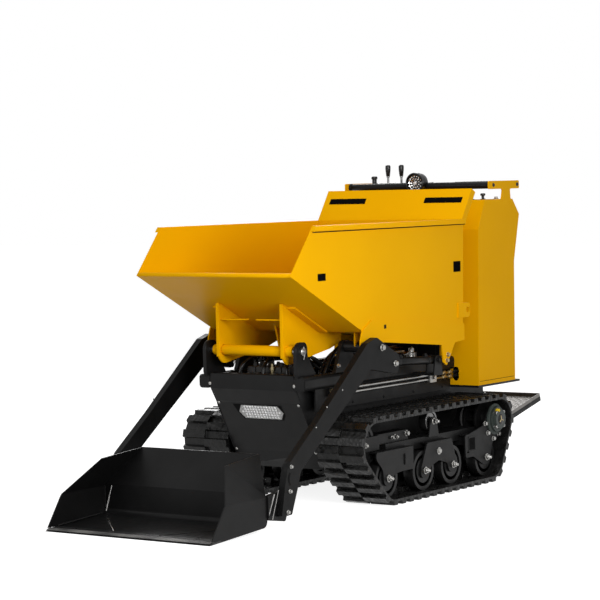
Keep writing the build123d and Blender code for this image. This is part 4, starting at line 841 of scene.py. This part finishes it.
def bucket_details():
    """Weld beads of the bucket, some in pale metal as painted glints, and the strip on its cutting edge, worn to steel
    with a painted highlight.
    """
    beads, bright = Piece(), Piece()
    for side in SIDES:
        y = side * (BUCKET_Y - 7)
        beads.weld((1236, y, 14), (HEEL[0] + 26, y, HEEL[1] + 8), 3)
        beads.weld((HEEL[0] + 7, y, HEEL[1] + 30), (BACK_BEND[0] + 6, y, BACK_BEND[1] - 6), 3)
        for off in (-9, 9):
            y = side * (384 + off)
            beads.weld((HEEL[0] - 2, y, HEEL[1] + 34), (BACK_BEND[0] - 2, y, BACK_BEND[1] - 6), 2.6)
        on_floor = beads if side > 0 else bright  # only the right one is pale metal, a painted glint
        for piece, rows in ((on_floor, FLOOR_BEADS), (bright, GLINT_BEADS)):
            for *ends, radius in rows:
                start, end = ((x, side * y, z) for x, y, z in ends)
                piece.weld(start, end, radius)
    beads.done("bucket_welds", "black_paint", "loader")
    bright.done("bucket_corner_beads", "glint_bead", "loader")
    # worn steel on the lip, partly a painted highlight
    lip = Piece().box(spot(1288, 0, 9.4, (0.35, 0, 1)), (20, 2 * BUCKET_Y - 8, 1.2))
    lip.done("cutting_edge_wear_and_highlight", "edge_wear_and_highlight", "loader", bevel=0.4)


for side, word in SIDES.items():
    arm_details(side)
    cylinder_details(f"lift_{word}", LIFT_BASE, CRANK_PIN, side * LIFT_Y, LIFT_SIZES,
                     f"lift_cylinder_{word}", f"lift_piston_{word}")
cylinder_details("tip", TIP_BASE, TIP_EYE, 0, TIP_SIZES, "tip_cylinder", "tip_piston")
bucket_details()


# ---- chassis and the bay under the hopper

PIN_KEEPER = ((0, 20, 1), (2, 4, 3), (-2, -14, 3), (4, -30, 2))
RAIL_TOP_BOLTS = (-590, -420, -120, 60, 330)  # x
RAIL_SIDE_BOLTS = (-560, -330, -100, 130, 340)
LOADER_PIVOT_STUDS = (128, 253)
FLOOR_BOLTS = (-700, -450, -200, 50, 220)
UNIONS_X = (-610, -560, 282)
CLAMP = (-441, 456)
# rows of (x, z above the deck) that a pipe follows; the hump of a tip pipe sags by its own amount
TIP_PIPE_UP = ((300, 470), (262, 500))
TIP_PIPE_HUMP = ((232, 546), (190, 594), (128, 624), (60, 630), (-20, 610), (-90, 570))
TIP_PIPE_DOWN = ((-118, 520), (-120, 474))
TIP_PIPES = ((180, 0), (150, 24))  # y, sag
TANK = (-470, -60)
TANK_SIZE = (150, 250, 96)
FILTER_BOX = (-330, 150)
VALVE_X = 330
VALVES_Y = (-84, -42, 0, 42, 84)
# pipes from the valves to the rear: x, distance out from the valve, height above the deck
REAR_PIPE = ((308, 0, 100), (304, 0, 116), (280, 20, 122), (240, 50, 104), (190, 64, 66), (100, 66, 30), (-40, 66, 22))
REAR_PIPE_END = ((-200, 20), (-380, 20), (-620, 24))  # x, height above the deck
# pipes from the valves to the front: x, spread as a share of the valve's y, height above the deck
FRONT_PIPE = ((346, 1, 98), (350, 1, 112), (372, 1.1, 112), (404, 1.3, 84), (414, 1.4, 40), (414, 1.4, 4))
ELBOW = ((-233, 566), (-258, 570), (-282, 580), (-298, 594))


def chassis_details():
    """Pin ends with their keepers, bolts, rail caps and the pad on the front beam."""
    pins, heads, keepers, caps = Piece(), Piece(), Piece(), Piece()
    for side in SIDES:
        pin = upright(HOPPER_PIVOT[0], PIN_END_Y, HOPPER_PIVOT[1], side)
        pins.lathe(shift(pin, z=-8), ((17, 0), (17, 9), (15.5, 10.2)), 36)
        pins.bolt(shift(pin, z=2), 15, 0.5)
        keepers.tube([pin @ Vector(p) for p in PIN_KEEPER], 1.8, 8)
        for x in RAIL_TOP_BOLTS:
            heads.button(spot(x, side * (RAIL_Y - 12), RAIL_TOP), 6)
        for x in RAIL_SIDE_BOLTS:
            heads.button(upright(x, 236, 405, side), 5)
        heads.bolt(upright(LIFT_BASE[0], LIFT_Y + 21, LIFT_BASE[1], side), 15, 0.5)
        caps.box(spot(BEAM_FRONT_X + 1, side * RAIL_Y, 504.5, (1, 0, 0)), (46, 46, 4))
        for x in LOADER_PIVOT_STUDS:
            pins.stud(upright(x, RAIL_Y + 20, 560, side), 11, 12, 3.4)
        for x in FLOOR_BOLTS:
            pins.lathe(spot(x, side * 150, 150.2, (0, 0, -1)), ((9, 0), (9, 1.4), (7.6, 1.8), (7, 6.4), (5, 7.4)), 6)
    pins.done("chassis_bolts", "zinc_steel", smooth=24)
    heads.done("painted_bolts", "frame_paint", smooth=24)
    keepers.done("hinge_pin_keepers", "zinc_steel")
    caps.done("rail_caps", "frame_paint", bevel=2)
    Piece().box(spot(466, 0, 536.6), (44, 330, 1.6)).done("beam_top_pad", "frame_paint", bevel=0.8)


def pipe_fittings():
    """Union nuts and clamp of the steel pipes, and the bent pipes to the tipping cylinder."""
    nuts = Piece()
    for z in PIPE_Z:
        for x in UNIONS_X:
            place = spot(x, PIPE_Y, z, (1, 0, 0))
            nuts.lathe(place, ((8.6, 0), (10, 1.5), (10, 15), (8.6, 17)), 6)
            nuts.lathe(shift(place, z=17), ((8.4, 0), (8.4, 9), (7, 11)), 20)
    nuts.done("pipe_unions", "brass_zinc", smooth=24)
    x, z = CLAMP
    clamp = Piece().box(spot(x, PIPE_Y + 13, z), (50, 3, 42)).bolt(upright(x, PIPE_Y + 14.5, z, 1), 12, 0.6)
    clamp.done("pipe_clamp", "zinc_steel", bevel=0.8)
    bends = Piece()
    for y, sag in TIP_PIPES:
        hump = [(x, z - sag) for x, z in TIP_PIPE_HUMP]
        bends.tube(smooth_line([(x, y, z) for x, z in (*TIP_PIPE_UP, *hump, *TIP_PIPE_DOWN)]), 9.5, 16)
    bends.done("tip_pipes", "black_plastic")


def bay_tank():
    """Bulkhead of painted shade, tank and filter box with their straps."""
    wall, tank, straps = Piece(), Piece(), Piece()
    # painted shade: a black bulkhead darkens the bay in front of the cabinet's wall
    x = CABINET_FRONT_X + 3
    wall.box(spot(x, -70, 540), (3, 500, 116))
    for y in range(-300, 161, 92):
        wall.box(spot(x + 4, y, 540), (6, 8, 108))
    wall.done("bay_shade_bulkhead", "frame_paint", bevel=1)
    (x, y), (wide, deep, tall) = TANK, TANK_SIZE
    tank.prism(spot(x, y, DECK_Z), rounded(wide, deep, 22), 0, tall)
    tank.lathe(spot(x, y - 90, DECK_Z + tall), ((26, 0), (26, 12), (22, 15)), 24)
    for off in (-70, 70):
        straps.box(spot(x, y + off, DECK_Z + 50), (wide + 6, 22, tall + 2))
    tank.box(spot(*FILTER_BOX, DECK_Z + 46), (96, 150, 90))
    straps.box(spot(*FILTER_BOX, DECK_Z + 93), (102, 26, 4))
    tank.done("bay_tank", "black_plastic", bevel=5, segments=3)
    straps.done("bay_straps", "zinc_steel", bevel=1)


def bay_valves():
    """Valve bank with its unions and fitting."""
    valve, unions = Piece(), Piece()
    for y in VALVES_Y:
        valve.box(spot(VALVE_X, y, DECK_Z + 42), (96, 38, 76))
        valve.lathe(spot(VALVE_X + 48, y, DECK_Z + 46, (1, 0, 0)), ((14, 0), (14, 20), (11, 23)), 24)
        valve.lathe(spot(VALVE_X - 48, y, DECK_Z + 46, (-1, 0, 0)), ((12, 0), (12, 5), (9, 8)), 24)
        for dx in (-22, 16):
            unions.lathe(spot(VALVE_X + dx, y, DECK_Z + 80), ((9, 0), (9, 8), (7, 9), (7, 16), (6, 17)), 6)
    valve.box(spot(VALVE_X, 0, DECK_Z + 3), (110, 226, 6))
    valve.done("valve_bank", "engine_metal", bevel=2)
    unions.done("valve_unions", "engine_metal", smooth=24)
    fitting = Piece().lathe(spot(384, 24, DECK_Z + 6), ((8, 0), (8, 62), (11, 63), (11, 76), (6, 77), (6, 88)), 6)
    fitting.done("valve_fitting", "brass_zinc", smooth=24)


def bay_pipes():
    """Rigid bent pipes from the valves to the rear and the front, and a steel elbow."""
    pipes = Piece()
    for i, y in enumerate((-84, -42, 42, 84)):
        side = 1 if y > 0 else -1
        line = [(x, y + side * out, DECK_Z + up) for x, out, up in REAR_PIPE]
        line += [(x, side * (185.6 - 8 * i), DECK_Z + up) for x, up in REAR_PIPE_END]
        pipes.tube(smooth_line(line), 7.5)
    for y in VALVES_Y[::2]:
        pipes.tube(smooth_line([(x, y * spread, DECK_Z + up) for x, spread, up in FRONT_PIPE]), 7)
    pipes.done("bay_pipes", "black_plastic")
    elbow = Piece().tube(smooth_line([(x, PIPE_Y, z) for x, z in ELBOW]), 3.2, 10)
    elbow.lathe(spot(-300, 246, 520), ((16, 0), (16, 50), (12, 54), (12, 70)), 20)
    elbow.done("bay_elbow", "zinc_steel")


chassis_details()
pipe_fittings()
bay_tank()
bay_valves()
bay_pipes()


# ---- cabinet

# small knobs on the console: x, y and the turned outline
CONSOLE_KNOBS = (
    (-724, 300, ((13, 0), (13, 3), (8, 5), (8, 16), (6, 18)), 24),
    (-822, 300, ((12, 0), (12, 3), (6, 5), (6, 15), (11, 18), (11, 25), (8, 27)), 24),
    (-790, -40, ((30, 0), (30, 4), (27, 6), (27, 16), (22, 22), (10, 24)), 32),
)
DOOR_Z = (470, CABINET_WAIST[1] - 30)
DOOR_WIDTH = 620
DOOR_PLATE = 4
LOUVRE_ROWS, LOUVRE_PITCH = 9, 30
VENT_ROWS, VENT_PITCH = 10, 26
LEVER_PANEL_TOP = CABINET_TOP_Z + 2.8
BOOT = ((17, 0), (17, 3), (13, 6), (15, 8), (11, 11), (13, 13), (9, 16), (10.5, 18), (6, 21))
LAMP_FORWARD = 10  # of the modelled lamp front beyond the solid's face
LAMP_RIM = LAMP_RADIUS + 3
# rings of mirror facets: how many, inner and outer radius, half width
FACETS = ((14, 26, LAMP_RIM - 8.5, 6.6), (11, 14, 25, 5.5), (7, 5, 13, 4.2))


def cabinet_details():
    """Screws, lever panel, small knobs, switch, and painted shade along the seams."""
    screws, knobs, seams = Piece(), Piece(), Piece()
    for side in SIDES:
        for x in BAR_X:
            screws.button(upright(x, CABINET_Y, BAR_Z, side), 8)
        # painted shade: dark lines along the panel seams
        seams.box(upright(-797, CABINET_Y + 0.2, 424, side), (292, 1.6, 1.0))
    seams.box(spot(-835, 0, CABINET_TOP_Z + 0.2), (1.6, 700, 1.0))
    for x, y, outline, facets in CONSOLE_KNOBS:
        knobs.lathe(spot(x, y, CABINET_TOP_Z), outline, facets)
    screws.done("cabinet_screws", "edge_steel", smooth=40)
    Piece().box(spot(-858, -222, CABINET_TOP_Z + 1.4), (104, 236, 2.8)).done("lever_panel", "frame_paint", bevel=1.2)
    knobs.done("console_knobs", "black_plastic")
    switch = Piece().lathe(spot(-935, 300, CABINET_TOP_Z), ((12, 0), (12, 2), (8, 3), (8, 10), (5, 11)), 24)
    switch.done("console_switch", "zinc_steel")
    seams.done("cabinet_seam_shade", "shadow_seam")


def cabinet_door():
    """Service door in the cabinet's rear wall with pressed louvres, hinges and a lock."""
    low, high = DOOR_Z
    middle = (low + high) / 2
    lean = (CABINET_REAR_X - CABINET_WAIST[0]) / (CABINET_BOTTOM_Z - CABINET_WAIST[1])
    place = spot(CABINET_REAR_X + (middle - CABINET_BOTTOM_Z) * lean, 0, middle, (-1, 0, lean))
    door = Piece().prism(place, rounded(high - low, DOOR_WIDTH, 16), 0, DOOR_PLATE)
    door.done("service_door", "yellow_paint", bevel=1.8)
    face = shift(place, z=DOOR_PLATE)
    louvres = Piece()
    for row in range(LOUVRE_ROWS):
        for y in (-145, 145):
            slat = turned(shift(face, -110 + row * LOUVRE_PITCH, y), 90, "X")
            louvres.prism(slat, ((-9, 0), (9, 0), (-5, 9)), -105, 105)
    louvres.done("door_louvres", "yellow_paint", bevel=1.6)
    hinges = Piece()
    for x in (-150, 150):
        hinges.lathe(shift(turned(shift(face, x, 318), 90, "Y"), z=-30), ((7, 0), (7, 60)), 20)
        hinges.box(shift(face, x, 300, 0.5), (54, 40, 3))
    hinges.done("door_hinges", "black_paint", bevel=0.8)
    lock = Piece().lathe(shift(face, 0, -280), ((17, 0), (17, 3), (15, 5), (9, 5.4), (8, 3)), 28)
    lock.box(shift(face, 0, -280, 5), (22, 6, 6)).done("door_lock", "black_plastic", bevel=0.6)


def side_vents():
    """Pressed cooling slots low in the right side of the cabinet."""
    vents = Piece()
    for row in range(VENT_ROWS):
        slat = turned(upright(-800, CABINET_Y, 560 + row * VENT_PITCH, -1), 90, "Y")
        vents.prism(slat, ((0, 8), (0, -8), (-7, 6)), -80, 80)
    vents.done("side_louvres", "yellow_paint", bevel=1.6)


def grips_and_levers():
    """Sleeves and collars of the grab bars, and the levers with their boots."""
    bars, caps, stems, knobs, boots = (Piece() for _ in range(5))
    for side in SIDES:
        bars.tube([(BAR_X[1], side * y, BAR_Z) for y in (60, 120, 200, 300, 338)], 17.4, 28)
        for x in BAR_X:
            caps.lathe(upright(x, CABINET_Y - 16, BAR_Z, side), ((16.5, 0), (17.5, 2), (17.5, 9), (16, 10)), 28)
    for i, (y, height, length) in enumerate(LEVERS):
        foot = spot(LEVER_X, y, LEVER_PANEL_TOP)
        reach = height - length - LEVER_PANEL_TOP
        boots.lathe(foot, BOOT, 24)
        stems.lathe(foot, ((5, 10), (5, reach - 8), (7, reach - 7), (7, reach)), 16)
        mushroom = ((10, -40), (10.5, 0), (10.5, length * 0.5), (13.5, length * 0.58), (14, length - 3), (11, length))
        grip = ((8, -2), (8.6, 0), (11.6, length * 0.55), (12, length * 0.82), (11, length - 2.5), (8, length))
        knobs.lathe(shift(foot, z=reach), grip if i else mushroom, 28)
    bars.done("rear_bar_sleeves", "black_plastic")
    caps.done("bar_collars", "frame_paint")
    shaft = stems.done("lever_stems", "satin_steel")
    knobs.done("lever_knobs", "black_plastic", smooth=40)
    boots.done("lever_boots", "rubber_belt", smooth=50)
    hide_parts("control_levers")


def work_lamp():
    """Rim, bowl, faceted mirror, bulb and nut of the lamp on the front bar."""
    place = spot(LAMP_FACE[0] + LAMP_FORWARD, 0, LAMP_FACE[1], (1, 0, 0))
    rim, mirror = Piece(), Piece()
    outline = ((0, -24), (0, -1), (1.6, 0.4), (4.6, 0.4), (6, -1), (6, -9.8))
    rim.loop([rim.ring(place, circle(LAMP_RIM - step, height, 56)) for step, height in outline])
    rim.done("work_lamp_rim", "lamp_body", smooth=40)
    bowl = Piece().lathe(place, ((LAMP_RIM - 4, -12), (LAMP_RIM - 4, -9.4), (10, -9.4), (9, -12)), 40)
    bowl.done("work_lamp_bowl", "lamp_body", smooth=60)
    for row, (count, near, far, wide) in enumerate(FACETS):
        middle = (near + far) / 2
        for i in range(count):
            mirror.cap(turned(place, 360 * (i + row / 2) / count),
                       ((near, 0, -9.5), (middle, -wide, -9.5), (far, 0, -9.5), (middle, wide, -9.5)),
                       ((near + 1, 0, -7.4), (middle, -wide * 0.3, -6), (far - 1, 0, -5), (middle, wide * 0.3, -6)))
    mirror.done("work_lamp_mirror", "lamp_mirror", smooth=8)
    Piece().lathe(place, ((6, -10), (6, -7), (4.4, -4.5), (1.5, -3.6)), 16).done("work_lamp_bulb", "led_dot")
    nut = Piece().bolt(spot(BAR_X[0] - 4, 0, BAR_Z + 43), 14, 0.5)
    nut.done("work_lamp_nut", "zinc_steel", smooth=24)


cabinet_details()
cabinet_door()
side_vents()
grips_and_levers()
work_lamp()


# ---- step

LOZENGE_PITCH = 17
LOZENGE_COLUMNS = 16  # to either side of the middle
LOZENGE_FOOT = ((9, 0, 0), (3, 2.6, 0), (-3, 2.6, 0), (-9, 0, 0), (-3, -2.6, 0), (3, -2.6, 0))
LOZENGE_TOP = ((5, 0, 1.7), (2, 0.9, 1.9), (-2, 0.9, 1.9), (-5, 0, 1.7), (-2, -0.9, 1.9), (2, -0.9, 1.9))
STEP_BOLTS = ((*STEP_HINGE, 205, 15), (-980, 340, 192, 13))  # x, z, y, width over flats


def step_details():
    """Raised lozenges on the step's tread, its bolts and its folded frame."""
    length = math.dist(STEP_HINGE, STEP_REAR)
    along = incline(STEP_HINGE, STEP_REAR)
    # on the tread: X to the rear, Y to the machine's left, Z up
    tread = Matrix.Translation((STEP_HINGE[0], 0, STEP_HINGE[1])) @ axes(along, (0, 1, 0), (along.z, 0, -along.x))
    lugs = Piece()
    for row in range(int((length - 44) / LOZENGE_PITCH) + 1):
        for column in range(-LOZENGE_COLUMNS, LOZENGE_COLUMNS + 1):
            at = shift(tread, 36 + row * LOZENGE_PITCH, column * LOZENGE_PITCH, 2.5)
            lugs.cap(turned(at, 45 if (row + column) % 2 else -45), LOZENGE_FOOT, LOZENGE_TOP)
    lugs.done("step_lozenges", "tread_plate", "step", smooth=50)
    bolts, edge = Piece(), Piece()
    for side in SIDES:
        for x, z, y, across in STEP_BOLTS:
            bolts.bolt(upright(x, y, z, side), across, 0.5)
        edge.box(shift(tread, 13 + length / 2, side * (STEP_HALF_WIDTH + 0.4), -7), (length - 27, 2.4, 20))
    edge.box(shift(tread, length + 0.4, 0, -7), (2.4, 2 * STEP_HALF_WIDTH, 20))
    bolts.done("step_bolts", "zinc_steel", smooth=24)
    edge.done("step_frame", "frame_paint", "step", bevel=1)


step_details()


# ---- stage, light and camera

FLOOR_GLOW = 0.87  # so that the open floor reaches white and shade stays pale
FLOOR_GREY = 0.5
FLOOR_SIZE = 60.0
FLOOR_Z = -0.0005
WORLD_LIGHT = 0.28
# softboxes: name, position in metres, aimed at, size in metres, watts
SOFTBOXES = (
    ("key", (1.9, 2.8, 1.5), (0.1, 0.3, 0.75), (1.5, 1.2), 78),
    ("front", (4.2, -0.7, 1.8), (0.4, 0.0, 0.5), (2.2, 1.6), 40),
    ("top", (-0.4, 0.3, 4.0), (-0.1, 0.0, 0.8), (3.0, 2.0), 44),
    ("back", (-3.4, -2.8, 2.4), (-0.4, 0.0, 0.6), (2.4, 1.8), 70),
)
CAMERA_PLACE = (7.77512, 5.30994, 1.29706)
CAMERA_LENS = 137.65
CAMERA_YAW, CAMERA_PITCH, CAMERA_ROLL = 34.84, -2.99, -1.28  # degrees


def seen_directly(tree):
    """1 for rays that show the backdrop itself: camera, mirror and glass rays."""
    add, link = tree.nodes.new, tree.links.new
    rays = add("ShaderNodeLightPath")
    total = rays.outputs["Is Camera Ray"]
    for name in ("Is Glossy Ray", "Is Transmission Ray"):
        either = add("ShaderNodeMath")
        either.operation = "MAXIMUM"
        link(total, either.inputs[0])
        link(rays.outputs[name], either.inputs[1])
        total = either.outputs["Value"]
    return total


def floor_material():
    """Matte ground, white where it is seen directly, which keeps the object's soft shadow."""
    g = Graph("floor")
    put(g.shader, Base_Color=(FLOOR_GREY, FLOOR_GREY, FLOOR_GREY, 1), Roughness=1.0, Specular_IOR_Level=0.0)
    glow = g.add("ShaderNodeEmission")
    amount = g.add("ShaderNodeMath")
    amount.operation = "MULTIPLY"
    amount.inputs[1].default_value = FLOOR_GLOW
    g.link(seen_directly(g.tree), amount.inputs[0])
    g.link(amount.outputs["Value"], glow.inputs["Strength"])
    both = g.add("ShaderNodeAddShader")
    g.link(g.shader.outputs["BSDF"], both.inputs[0])
    g.link(glow.outputs["Emission"], both.inputs[1])
    g.link(both.outputs["Shader"], g.tree.nodes["Material Output"].inputs["Surface"])


def aim_camera():
    reach, rise = polar(1, CAMERA_PITCH)
    x, y = polar(reach, CAMERA_YAW)
    forward = Vector((-x, -y, rise))
    right = forward.cross(Vector((0, 0, 1))).normalized()
    level = Matrix.Translation(CAMERA_PLACE) @ axes(right, right.cross(forward), -forward)
    data = bpy.data.cameras.new("camera")
    data.lens = CAMERA_LENS
    data.sensor_width = 36
    data.clip_end = 100
    camera = bpy.data.objects.new("camera", data)
    camera.matrix_world = turned(level, CAMERA_ROLL)
    SCENE.collection.objects.link(camera)
    SCENE.camera = camera


bpy.ops.mesh.primitive_plane_add(size=FLOOR_SIZE, location=(0, 0, FLOOR_Z))
floor = bpy.context.object
floor.name = "floor"
floor_material()
floor.data.materials.append(MATERIALS["floor"])

world = bpy.data.worlds.new("studio")
SCENE.world = world
world.use_nodes = True
tree = world.node_tree
background = put(tree.nodes["Background"], Color=(1, 1, 1, 1))
level = put(tree.nodes.new("ShaderNodeMapRange"), To_Min=WORLD_LIGHT, To_Max=1.0)
tree.links.new(seen_directly(tree), level.inputs["Value"])
tree.links.new(level.outputs["Result"], background.inputs["Strength"])

for name, place, aim, size, watts in SOFTBOXES:
    light = bpy.data.lights.new(name, "AREA")
    light.shape = "RECTANGLE"
    light.size, light.size_y = size
    light.energy = watts
    lamp = bpy.data.objects.new(name, light)
    lamp.location = place
    lamp.rotation_mode = "QUATERNION"
    lamp.rotation_quaternion = (Vector(aim) - Vector(place)).to_track_quat("-Z", "Y")
    SCENE.collection.objects.link(lamp)

aim_camera()
SCENE.view_settings.view_transform = "Standard"
